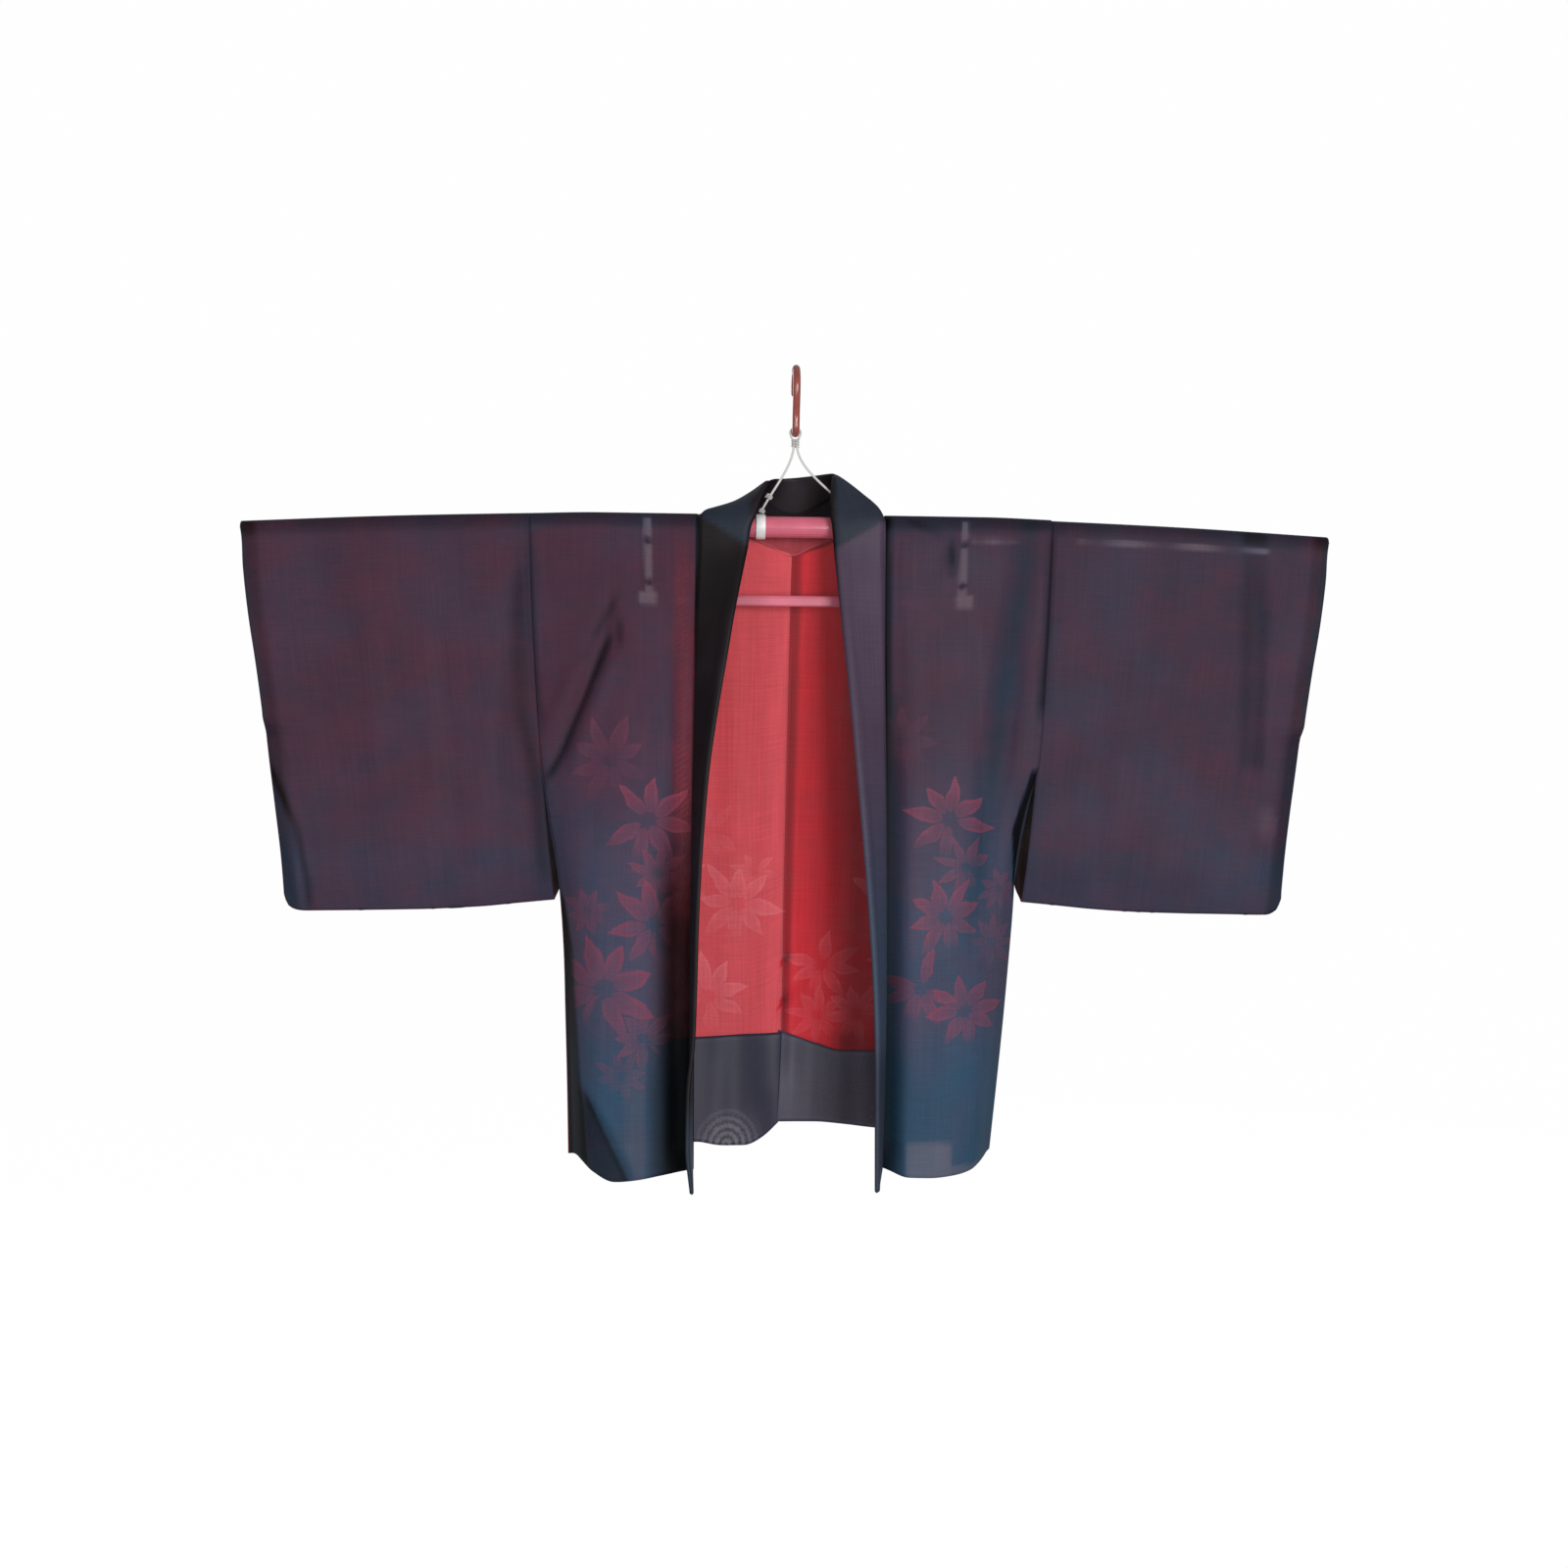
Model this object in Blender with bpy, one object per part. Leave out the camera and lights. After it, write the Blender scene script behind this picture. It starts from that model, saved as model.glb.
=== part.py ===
"""Haori jacket of sheer silk on an extending kimono hanger.

Metres, +Z up. The origin is the point inside the top of the hook where it rests on its rail. The
jacket faces -Y, so +X is the wearer's left. Cloth pieces are walls worked out from sections through
the hanging jacket, and each piece stands a seam gap clear of its neighbours. The tables below are
measured from the middle of the jacket and from the axis of the hanger's main bar.
"""
import math

import bmesh
import bpy
import numpy as np
from mathutils import Matrix, Vector

# ---- hanger sizes
BAR_HEIGHT = -0.185          # axis of the main bar below the hook's resting point
HANGER_MIDDLE = 0.017        # the hanger sits this far towards the wearer's left
TUBE_RADIUS = 0.0128         # fixed middle tube of the bar
TUBE_BORE = 0.0114
TUBE_HALF = 0.180
ARM_RADIUS = 0.0108          # sliding arms, one out of each end of the tube
ARM_INSERTED = 0.060
ARM_REACH = 0.600            # arm tip, from the middle of the hanger
STRAP_OFFSET = 0.190         # straps hang outside the ends of the tube
STRAP_WIDTH = 0.0094
STRAP_THICK = 0.0012
STRAP_LEAN = {"right": 0.0035, "left": -0.0050}   # sideways shift of a strap from top to bottom
SNAP_RADIUS = 0.0027
SNAP_HEIGHTS = {"upper": -0.020, "lower": -0.070}  # from the bar's axis
CAP_LENGTH = 0.0215
CAP_DEPTH = 0.0110
CAP_HEIGHT = 0.0160
CAP_WALL = 0.0011
CAP_MIDDLE = -0.0885         # middle of the lower bar, from the main bar's axis
LOWER_BAR_REACH = 0.190      # outer end of each cap, from the middle of the hanger
CLIP_OFFSET = 0.055          # cord clips on the tube, each side of the hanger's middle
CLIP_WIDTH = 0.0114
CLIP_WALL = 0.0020
CORD_RADIUS = 0.0014
CORD_X = 0.003               # the hook and the cord's bight, from the middle of the jacket
CORD_PINCH = 0.1005          # the two legs are tied together at this height above the bar's axis
HOOK_RADIUS = 0.0045         # rod of the hook
HOOK_MOUTH = 0.0170          # inner radius of the hook's mouth
HOOK_CURL = 0.0042           # inner radius of the lower curl that carries the cord
HOOK_FOOT = 0.1125           # middle of the rod at the bottom of that curl, above the bar's axis

# ---- cloth sizes
CLOTH = 0.0016               # wall of one piece
FACING_CLOTH = 0.0010        # the hem's turned-up facing, pressed flat
SEAM_GAP = 0.0004
CORNER_GAP = 0.0010          # where two pieces meet at an angle
FACING_GAP = 0.0007          # between a back panel and the facing inside it
REST_GAP = 0.0003
COLLAR_FOLD = 0.0013         # inner radius of the collar's lengthwise fold
FOLD_TOP = 0.0152            # outer cloth surface above the bar's axis, at the neck

# Inner cloth surface over the bar, by distance from the middle of the jacket
TOP_LINE = [
    # reach, height of the cloth, height of the arm's axis
    (0.000, 0.0136, 0.0000),
    (0.230, 0.0135, 0.0000),
    (0.312, 0.0112, -0.0008),
    (0.480, 0.0054, -0.0063),
    (0.652, -0.0034, -0.0151),
]

# Front panels, one row for each height below the bar's axis: collar seam, chest, flank and side seam
FRONT = {
    "left": [
        # height, seam x, seam y, chest x, chest y, flank x, flank y, side x, side y
        (0.000, 0.1114, -0.0136, 0.180, -0.0136, 0.250, -0.0136, 0.3120, -0.0131),
        (-0.100, 0.1104, -0.0200, 0.180, -0.0210, 0.250, -0.0180, 0.3080, -0.0140),
        (-0.285, 0.1100, -0.0340, 0.172, -0.0450, 0.242, -0.0340, 0.2960, -0.0130),
        (-0.450, 0.1100, -0.0410, 0.158, -0.0570, 0.224, -0.0450, 0.2680, -0.0040),
        (-0.610, 0.1090, -0.0460, 0.152, -0.0630, 0.217, -0.0510, 0.2570, 0.0080),
        (-0.775, 0.1045, -0.0500, 0.150, -0.0650, 0.203, -0.0510, 0.2340, 0.0180),
    ],
    "right": [
        (0.000, 0.1140, -0.0136, 0.180, -0.0136, 0.250, -0.0136, 0.3120, -0.0131),
        (-0.100, 0.1140, -0.0200, 0.180, -0.0220, 0.250, -0.0180, 0.3080, -0.0140),
        (-0.285, 0.1140, -0.0310, 0.173, -0.0430, 0.242, -0.0340, 0.2950, -0.0130),
        (-0.450, 0.1140, -0.0400, 0.166, -0.0560, 0.236, -0.0450, 0.2710, 0.0020),
        (-0.610, 0.1130, -0.0460, 0.166, -0.0620, 0.234, -0.0490, 0.2640, 0.0130),
        (-0.775, 0.1120, -0.0500, 0.168, -0.0640, 0.226, -0.0490, 0.2600, 0.0210),
    ],
}
# Back panels: middle of the shoulder blade, then the gusset seam
BACK = {
    "left": [
        # height, blade x, blade y, gusset x, gusset y
        (0.000, 0.160, 0.0137, 0.3120, 0.0131),
        (-0.100, 0.155, 0.0300, 0.3080, 0.0140),
        (-0.285, 0.150, 0.0460, 0.2960, 0.0130),
        (-0.450, 0.140, 0.0540, 0.2620, 0.0250),
        (-0.610, 0.130, 0.0580, 0.2330, 0.0400),
        (-0.775, 0.115, 0.0600, 0.1900, 0.0500),
    ],
    "right": [
        (0.000, 0.160, 0.0137, 0.3120, 0.0131),
        (-0.100, 0.155, 0.0270, 0.3080, 0.0140),
        (-0.285, 0.150, 0.0400, 0.2950, 0.0130),
        (-0.450, 0.140, 0.0460, 0.2650, 0.0290),
        (-0.610, 0.130, 0.0490, 0.2460, 0.0410),
        (-0.775, 0.115, 0.0510, 0.2120, 0.0520),
    ],
}
# Centre back seam, shared by both back panels
SPINE = [
    # height, x, y
    (0.000, 0.0010, 0.0240),
    (-0.100, -0.0005, 0.0370),
    (-0.285, -0.0025, 0.0520),
    (-0.450, -0.0045, 0.0590),
    (-0.610, -0.0060, 0.0630),
    (-0.775, -0.0140, 0.0650),
]
# Neckline on the back panels: height against distance from the centre back
NECKLINE = {
    "left": [(-0.031, 0.0006), (-0.011, 0.050), (0.000, 0.076), (FOLD_TOP, 0.1114)],
    "right": [(-0.031, 0.0006), (-0.011, 0.050), (0.000, 0.076), (FOLD_TOP, 0.1140)],
}
NECK_FOOT = -0.031           # where the neckline crosses the centre back

# Hems: height against the way across a panel, 0 at its inner edge and 1 at its side seam
FRONT_HEM = {
    "left": [(0.0, -0.757), (0.30, -0.771), (0.60, -0.766), (1.0, -0.751)],
    "right": [(0.0, -0.760), (0.38, -0.773), (0.65, -0.768), (1.0, -0.754)],
}
BACK_HEM = {
    "left": [(0.0, -0.722), (0.15, -0.722), (0.55, -0.729), (1.0, -0.742)],
    "right": [(0.0, -0.723), (0.12, -0.746), (0.25, -0.752), (0.50, -0.745), (1.0, -0.747)],
}
FACING_TOP = {
    "left": [(0.0, -0.609), (0.20, -0.626), (0.36, -0.635), (1.0, -0.632)],
    "right": [(0.0, -0.612), (0.50, -0.618), (1.0, -0.622)],
}

# Where the collar folds, by height down a front: its distance from the middle, its Y, and its drop
COLLAR_FOLD_LINE = {
    "left": [
        (0.000, 0.047, -0.024, 0.004),
        (-0.030, 0.050, -0.028, 0.000),
        (-0.074, 0.054, -0.036, 0.000),
        (-0.174, 0.063, -0.060, 0.000),
        (-0.278, 0.072, -0.077, 0.000),
        (-0.380, 0.081, -0.088, 0.000),
        (-0.485, 0.089, -0.096, 0.000),
        (-0.605, 0.095, -0.101, 0.000),
        (-0.757, 0.096, -0.106, -0.019),
    ],
    "right": [
        (0.000, 0.050, -0.024, 0.003),
        (-0.030, 0.056, -0.028, 0.000),
        (-0.100, 0.069, -0.055, 0.000),
        (-0.176, 0.081, -0.071, 0.000),
        (-0.280, 0.097, -0.085, 0.000),
        (-0.429, 0.108, -0.096, 0.000),
        (-0.605, 0.113, -0.103, 0.000),
        (-0.700, 0.120, -0.105, 0.000),
        (-0.760, 0.113, -0.107, -0.018),
    ],
}
# Round the neck the collar opens out of its fold: a row for each step over the shoulder to the centre
NECK_STATIONS = {
    "left": [
        # fold x, y, z, then free edge x, y, z, above the bar's axis
        (0.0470, -0.024, 0.0040, 0.1080, -0.019, 0.0100),
        (0.0455, -0.023, 0.0110, 0.1035, -0.014, 0.0210),
        (0.0450, -0.021, 0.0195, 0.0960, -0.008, 0.0300),
        (0.0450, -0.019, 0.0300, 0.0870, -0.003, 0.0380),
        (0.0460, -0.014, 0.0415, 0.0780, 0.001, 0.0460),
        (0.0475, -0.007, 0.0530, 0.0670, 0.005, 0.0550),
        (0.0490, 0.003, 0.0615, 0.0560, 0.009, 0.0630),
        (0.0510, 0.030, 0.0450, 0.0470, 0.017, 0.0680),
        (0.0280, 0.043, 0.0280, 0.0260, 0.028, 0.0665),
    ],
    "right": [
        (0.0500, -0.024, 0.0030, 0.1110, -0.019, 0.0080),
        (0.0465, -0.023, 0.0100, 0.1050, -0.014, 0.0160),
        (0.0435, -0.021, 0.0180, 0.0960, -0.008, 0.0200),
        (0.0410, -0.019, 0.0270, 0.0830, -0.003, 0.0245),
        (0.0370, -0.014, 0.0370, 0.0690, 0.001, 0.0300),
        (0.0330, -0.007, 0.0470, 0.0540, 0.005, 0.0390),
        (0.0295, 0.003, 0.0550, 0.0370, 0.009, 0.0510),
        (0.0330, 0.030, 0.0420, 0.0240, 0.017, 0.0600),
        (0.0180, 0.043, 0.0260, 0.0120, 0.028, 0.0625),
    ],
}
NECK_CENTRE = (0.0030, 0.046, 0.0200, 0.0060, 0.032, 0.0645)

# Sleeves: outline by height, and half the space between the plies at the armhole and at the cuff
SLEEVE = [
    # height, inner edge, outer edge, half depth at the armhole, half depth at the cuff
    (0.000, 0.3120, 0.6500, 0.0131, 0.0119),
    (-0.080, 0.3092, 0.6435, 0.0137, 0.0125),
    (-0.200, 0.3025, 0.6260, 0.0136, 0.0105),
    (-0.285, 0.2965, 0.6150, 0.0130, 0.0090),
    (-0.380, 0.2875, 0.6030, 0.0115, 0.0080),
    (-0.462, 0.2790, 0.5960, 0.0080, 0.0060),
]
SLEEVE_HEM = [(0.0, -0.447), (0.40, -0.458), (1.0, -0.462)]
SLEEVE_CORNER = 0.020        # rounding of the sleeve's lower outer corner
CUFF_FOOT = 0.50             # the cuff is open above this share of the sleeve's drop and sewn below
SEW_TAPER = 0.055            # over this length the plies close towards a sewn edge
ARMHOLE_END = -0.287         # the gusset starts here

# ---- mesh rows and columns
FRONT_ROWS = [0.0, 0.05, 0.12, 0.20, 0.29, 0.38, 0.47, 0.55, 0.62, 0.70, 0.78, 0.86, 0.92, 0.96, 1.0]
ARC_STEPS = [30, 60, 90, 120, 150, 180]
SHOULDER_FRONT = [30, 60, 89]     # degrees round the shoulder fold, with a gap at the top
SHOULDER_BACK = [91, 120, 150, 180]
NECK_ROWS = [-0.011, -0.021, -0.031]
BACK_ROWS = [0.04, 0.10, 0.18, 0.27, 0.36, 0.44, 0.53, 0.63, 0.73, 0.83, 0.92, 1.0]
PANEL_COLUMNS = [0.0, 0.08, 0.20, 0.34, 0.48, 0.62, 0.75, 0.86, 0.94, 1.0]
SLEEVE_COLUMNS = [0.0, 0.12, 0.27, 0.42, 0.57, 0.72, 0.84, 0.92, 0.965, 0.988, 1.0]
SLEEVE_ROWS = [0.0, 0.05, 0.12, 0.24, 0.36, 0.45, CUFF_FOOT, 0.64, 0.78, 0.90, 1.0]
SLEEVE_ARC_STEPS = [30, 60, 90, 120, 150, 180]
GUSSET_ROWS = [0.0, 0.12, 0.28, 0.46, 0.64, 0.82, 1.0]
GUSSET_COLUMNS = [0.0, 0.33, 0.67, 1.0]
FACING_ROWS = [0.0, 0.35, 0.7, 1.0]

SIGN = {"left": 1, "right": -1}


def smooth_lookup(table, column, at):
    """Read a column of a table at a value of its first column, on a smooth curve through the rows."""
    rows = sorted(table)
    keys = np.array([row[0] for row in rows])
    values = np.array([row[column] for row in rows])
    rises = np.diff(values) / np.diff(keys)
    slopes = np.concatenate([rises[:1], (rises[:-1] + rises[1:]) / 2, rises[-1:]])
    limit = 2 * np.minimum(np.abs(rises[:-1]), np.abs(rises[1:]))
    limit[rises[:-1] * rises[1:] <= 0] = 0
    slopes[1:-1] = np.clip(slopes[1:-1], -limit, limit)
    at = min(max(at, keys[0]), keys[-1])
    low = min(int(np.searchsorted(keys, at, side="right")) - 1, len(keys) - 2)
    step = keys[low + 1] - keys[low]
    t = (at - keys[low]) / step
    return (
        (2 * t**3 - 3 * t**2 + 1) * values[low]
        + (t**3 - 2 * t**2 + t) * step * slopes[low]
        + (3 * t**2 - 2 * t**3) * values[low + 1]
        + (t**3 - t**2) * step * slopes[low + 1]
    )


def along_curve(points, fraction):
    """A point at a fraction of the length of a smooth curve through a few points."""
    points = [Vector(point) for point in points]
    ends = [2 * points[0] - points[1]] + points + [2 * points[-1] - points[-2]]
    dense = []
    for before, start, end, after in zip(ends, ends[1:], ends[2:], ends[3:]):
        for step in range(12):
            t = step / 12
            dense.append(0.5 * (
                2 * start + (end - before) * t
                + (2 * before - 5 * start + 4 * end - after) * t**2
                + (3 * start - before - 3 * end + after) * t**3
            ))
    dense.append(points[-1])
    lengths = np.cumsum([0] + [(b - a).length for a, b in zip(dense, dense[1:])])
    return Vector([float(np.interp(fraction * lengths[-1], lengths, [p[axis] for p in dense]))
                   for axis in range(len(points[0]))])


def material(name, colour, roughness, metallic=0.0):
    """A plain Principled material."""
    finish = bpy.data.materials.new(name)
    finish.use_nodes = True
    shader = finish.node_tree.nodes["Principled BSDF"]
    shader.inputs["Base Color"].default_value = (*colour, 1)
    shader.inputs["Roughness"].default_value = roughness
    shader.inputs["Metallic"].default_value = metallic
    return finish


def add_object(name, data, finish):
    """Put a mesh or curve in the scene under its node's name."""
    data.name = name
    data.materials.append(finish)
    item = bpy.data.objects.new(name, data)
    bpy.context.scene.collection.objects.link(item)
    return item


def finish_bmesh(name, work, finish):
    """Turn a bmesh into a named object."""
    data = bpy.data.meshes.new(name)
    work.to_mesh(data)
    work.free()
    return add_object(name, data, finish)


def cloth_piece(name, place, rows, columns, finish, thickness=CLOTH, flip=False):
    """A wall of cloth: a grid laid on the points of place(row, column), thickened outwards."""
    work = bmesh.new()
    bmesh.ops.create_grid(work, x_segments=len(columns) - 1, y_segments=len(rows) - 1, size=1)
    for vert in work.verts:
        column = columns[round((vert.co.x + 1) / 2 * (len(columns) - 1))]
        row = rows[round((vert.co.y + 1) / 2 * (len(rows) - 1))]
        vert.co = place(row, column)
    bmesh.ops.remove_doubles(work, verts=work.verts, dist=0.00005)
    if flip:
        bmesh.ops.reverse_faces(work, faces=work.faces)
    piece = finish_bmesh(name, work, finish)
    wall = piece.modifiers.new("wall", "SOLIDIFY")
    wall.thickness = thickness
    wall.offset = 1
    return piece


def at_bar(x, y, z):
    """World point from one given about the middle of the jacket and the bar's axis."""
    return Vector((x - CORD_X, y, z + BAR_HEIGHT))


def arm_axis(reach):
    return smooth_lookup(TOP_LINE, 2, reach)


def fold_radius(reach):
    return smooth_lookup(TOP_LINE, 1, reach) - arm_axis(reach)


# ---- body panels
def front_point(side, height, across):
    """Inner surface of a front panel, mirrored by the caller."""
    row = [smooth_lookup(FRONT[side], column, height) for column in range(1, 9)]
    x, y = along_curve(list(zip(row[0::2], row[1::2])), across)
    return x, y


def back_depth(side, height, x):
    """Y of a back panel's inner surface at a distance from the middle."""
    low = min(height, 0)
    spine = (SIGN[side] * smooth_lookup(SPINE, 1, low), smooth_lookup(SPINE, 2, low))
    blade = (smooth_lookup(BACK[side], 1, low), smooth_lookup(BACK[side], 2, low))
    gusset = (smooth_lookup(BACK[side], 3, low), smooth_lookup(BACK[side], 4, low))
    return smooth_lookup([spine, blade, gusset], 1, x)


def back_inner_edge(side, height):
    """Inner edge of a back panel: the neckline, then the centre back seam."""
    if height > NECK_FOOT:
        return smooth_lookup(NECKLINE[side], 1, height)
    return SIGN[side] * smooth_lookup(SPINE, 1, height) + SEAM_GAP / 2


def body_point(side, station, across):
    """Inner surface of a body panel at a station of its length, about the bar's axis."""
    stretch, step = station
    if stretch == "front":
        hem = smooth_lookup(FRONT_HEM[side], 1, across)
        top_x, _ = front_point(side, 0, across)
        height = hem + (arm_axis(top_x) - hem) * step
        x, y = front_point(side, height, across)
        return Vector((x, y, height))
    if stretch == "arc":
        front_x, front_y = front_point(side, 0, across)
        angle = math.radians(step)
        rise = fold_radius(front_x) * math.sin(angle)
        height = arm_axis(front_x) + rise
        if step <= 90:
            return Vector((front_x, front_y * math.cos(angle), height))
        inner = smooth_lookup(NECKLINE[side], 1, height * FOLD_TOP / (FOLD_TOP - CLOTH))
        outer = smooth_lookup(BACK[side], 3, 0)
        x = inner + (outer - inner) * across
        bulge = (1 - math.sin(angle)) * back_depth(side, 0, x) + math.sin(angle) * fold_radius(x)
        return Vector((x, -bulge * math.cos(angle), height))
    if stretch == "neck":
        height = step
    else:
        hem = smooth_lookup(BACK_HEM[side], 1, across)
        height = NECK_FOOT + (hem - NECK_FOOT) * step
    inner = back_inner_edge(side, height)
    outer = smooth_lookup(BACK[side], 3, height)
    x = inner + (outer - inner) * across
    return Vector((x, back_depth(side, height, x), height))


def mirrored(side, point):
    return at_bar(SIGN[side] * point[0], point[1], point[2])


def body_panels(side, finish):
    """One length of cloth, as a front and a back that meet on top of the shoulder fold."""
    stations = {
        "front": [("front", step) for step in FRONT_ROWS] + [("arc", step) for step in SHOULDER_FRONT],
        "back": [("arc", step) for step in SHOULDER_BACK]
        + [("neck", step) for step in NECK_ROWS]
        + [("back", step) for step in BACK_ROWS],
    }
    for half, rows in stations.items():
        cloth_piece(
            f"body_{half}_{side}",
            lambda station, across: mirrored(side, body_point(side, station, across)),
            rows, PANEL_COLUMNS, finish, flip=(side == "right"),
        )


# ---- hem facing, turned up inside the back
def hem_facing(side, finish):
    def place(step, across):
        hem = smooth_lookup(BACK_HEM[side], 1, across)
        top = smooth_lookup(FACING_TOP[side], 1, across)
        height = hem + (top - hem) * step
        inner = back_inner_edge(side, height) + SEAM_GAP
        outer = smooth_lookup(BACK[side], 3, height) - 2 * SEAM_GAP
        x = inner + (outer - inner) * across
        return mirrored(side, (x, back_depth(side, height, x) - FACING_GAP, height))

    cloth_piece(f"hem_facing_{side}", place, FACING_ROWS, PANEL_COLUMNS, finish,
                thickness=FACING_CLOTH, flip=(side == "right"))


# ---- side gusset
def gusset_point(side, step, across):
    front_hem = FRONT_HEM[side][-1][1]
    back_hem = BACK_HEM[side][-1][1]
    hem = front_hem + (back_hem - front_hem) * across
    height = ARMHOLE_END + (hem - ARMHOLE_END) * step
    front = Vector(front_point(side, height, 1))
    back = Vector((smooth_lookup(BACK[side], 3, height), smooth_lookup(BACK[side], 4, height)))
    span = back - front
    way = span.normalized()
    start = front + way * CORNER_GAP
    end = back - way * CORNER_GAP
    outward = Vector((way.y, -way.x))
    bow = 0.10 * span.length * math.sin(math.pi * across)
    spot = start.lerp(end, across) + outward * bow
    return Vector((spot.x, spot.y, height))


def gusset(side, finish):
    cloth_piece(
        f"side_gusset_{side}",
        lambda step, across: mirrored(side, gusset_point(side, step, across)),
        GUSSET_ROWS, GUSSET_COLUMNS, finish, flip=(side == "left"),
    )


# ---- sleeve, a bag folded over the arm, open at the armhole and at the upper part of the cuff
def sleeve_inner_edge(side, height):
    """Distance from the middle of the sleeve's inner edge: the armhole seam, then the free edge."""
    edge = smooth_lookup(SLEEVE, 1, height)
    if height > ARMHOLE_END:
        edge = max(edge, front_point(side, height, 1)[0])
    return edge + CORNER_GAP


def sleeve_point(side, station, across):
    stretch, step = station
    hem = smooth_lookup(SLEEVE_HEM, 1, across)
    width = SLEEVE[-1][2] - SLEEVE[-1][1]
    from_edge = (1 - across) * width
    if from_edge < SLEEVE_CORNER:
        short = SLEEVE_CORNER - from_edge
        hem += SLEEVE_CORNER - math.sqrt(SLEEVE_CORNER**2 - short**2)
    top_reach = SLEEVE[0][1] + (SLEEVE[0][2] - SLEEVE[0][1]) * across
    axis = arm_axis(top_reach)
    if stretch == "arc":
        angle = math.radians(step)
        inner = sleeve_inner_edge(side, 0)
        x = inner + (smooth_lookup(SLEEVE, 2, 0) - inner) * across
        depth = sleeve_depth(0, across, 1)
        return Vector((x, -depth * math.cos(angle), axis + fold_radius(top_reach) * math.sin(angle)))
    height = hem + (axis - hem) * step
    inner = sleeve_inner_edge(side, height)
    outer = smooth_lookup(SLEEVE, 2, height)
    x = inner + (outer - inner) * across
    depth = sleeve_depth(height, across, min(1, (height - hem) / SEW_TAPER))
    if step < CUFF_FOOT:
        depth *= smooth_step((1 - across) * (outer - inner) / SEW_TAPER)
    return Vector((x, depth if stretch == "back" else -depth, height))


def smooth_step(t):
    t = min(max(t, 0), 1)
    return math.sin(t * math.pi / 2)


def sleeve_depth(height, across, open_share):
    at_armhole = smooth_lookup(SLEEVE, 3, height)
    at_cuff = smooth_lookup(SLEEVE, 4, height)
    return (at_armhole + (at_cuff - at_armhole) * across) * smooth_step(open_share)


def sleeve(side, finish):
    stations = (
        [("front", step) for step in SLEEVE_ROWS]
        + [("arc", step) for step in SLEEVE_ARC_STEPS]
        + [("back", step) for step in reversed(SLEEVE_ROWS[:-1])]
    )
    cloth_piece(
        f"sleeve_{side}",
        lambda station, across: mirrored(side, sleeve_point(side, station, across)),
        stations, SLEEVE_COLUMNS, finish, flip=(side == "right"),
    )


# ---- collar, one strip from hem to hem, folded lengthwise down the fronts and open round the neck
def collar_seam(side, station):
    """Point on the collar's seam, at the outer surface of the body panel's inner edge."""
    edge = body_point(side, station, 0)
    inside = body_point(side, station, 0.02)
    along = (inside - edge).normalized()
    stretch, step = station
    turn = {"front": 0, "arc": step, "neck": 180}[stretch]
    angle = math.radians(turn)
    if turn:
        outward = Vector((0, -math.cos(angle), math.sin(angle)))
    else:
        outward = Vector((along.y, -along.x, 0))
    leave = (-along).lerp(Vector((0, 0, 1)), turn / 180).normalized()
    return edge + outward * CLOTH + leave * (SEAM_GAP if turn < 90 else CORNER_GAP)


def collar_section(side, station):
    """Seam, fold and free edge of the collar at a station of the seam."""
    seam = collar_seam(side, station)
    stretch, step = station
    neck_steps = [("front", 1.0)] + [("arc", s) for s in ARC_STEPS] + [("neck", s) for s in NECK_ROWS]
    if station in neck_steps[:-1]:
        row = NECK_STATIONS[side][neck_steps.index(station)]
        return seam, Vector(row[:3]), Vector(row[3:])
    if station == neck_steps[-1]:
        row = NECK_CENTRE
        sign = SIGN[side]
        return seam, Vector((sign * row[0], *row[1:3])), Vector((sign * row[3], *row[4:]))
    lookup = [smooth_lookup(COLLAR_FOLD_LINE[side], column, seam.z) for column in (1, 2, 3)]
    fold = Vector((lookup[0], lookup[1], seam.z + lookup[2]))
    return seam, fold, None


def collar_profile(side, station):
    """Nine points across the collar: up the inner half, round the fold, down the outer half."""
    seam, fold, free = collar_section(side, station)
    reach = (fold - seam).normalized()
    outer = Vector((-reach.y, reach.x, 0)).normalized()
    if free is None:
        free = seam.lerp(fold, 0.09) + outer * 2 * COLLAR_FOLD
        free.z = seam.z + (fold.z - seam.z) * 0.09
    back = (free - fold).normalized()
    turned = (1 - reach.dot(back)) / 2
    far_side = fold + outer * 2 * COLLAR_FOLD * turned
    crown = (fold + far_side) / 2 + (reach - back) / 2 * COLLAR_FOLD * turned
    inner_half = [seam.lerp(fold, t) for t in (0, 0.33, 0.67, 1)]
    outer_half = [far_side.lerp(free, t) for t in (0, 0.33, 0.67, 1)]
    return inner_half + [crown] + outer_half


def collar(finish):
    one_side = [("front", s) for s in FRONT_ROWS] + [("arc", s) for s in ARC_STEPS]
    one_side += [("neck", s) for s in NECK_ROWS]
    rows = [("left", station) for station in one_side]
    rows += [("right", station) for station in reversed(one_side[:-1])]

    def place(row, column):
        side, station = row
        if station == one_side[-1]:
            return mirrored("left", collar_profile("left", station)[column])
        return mirrored(side, collar_profile(side, station)[column])

    cloth_piece("collar", place, rows, list(range(9)), finish)


# ---- hanger
def tube_along(name, points, radius, finish, resolution=4):
    """A round rod along a run of points."""
    data = bpy.data.curves.new(name, "CURVE")
    data.dimensions = "3D"
    data.bevel_depth = radius
    data.bevel_resolution = resolution
    data.use_fill_caps = True
    run = data.splines.new("POLY")
    run.points.add(len(points) - 1)
    for spot, point in zip(run.points, points):
        spot.co = (*point, 1)
    return add_object(name, data, finish)


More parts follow.
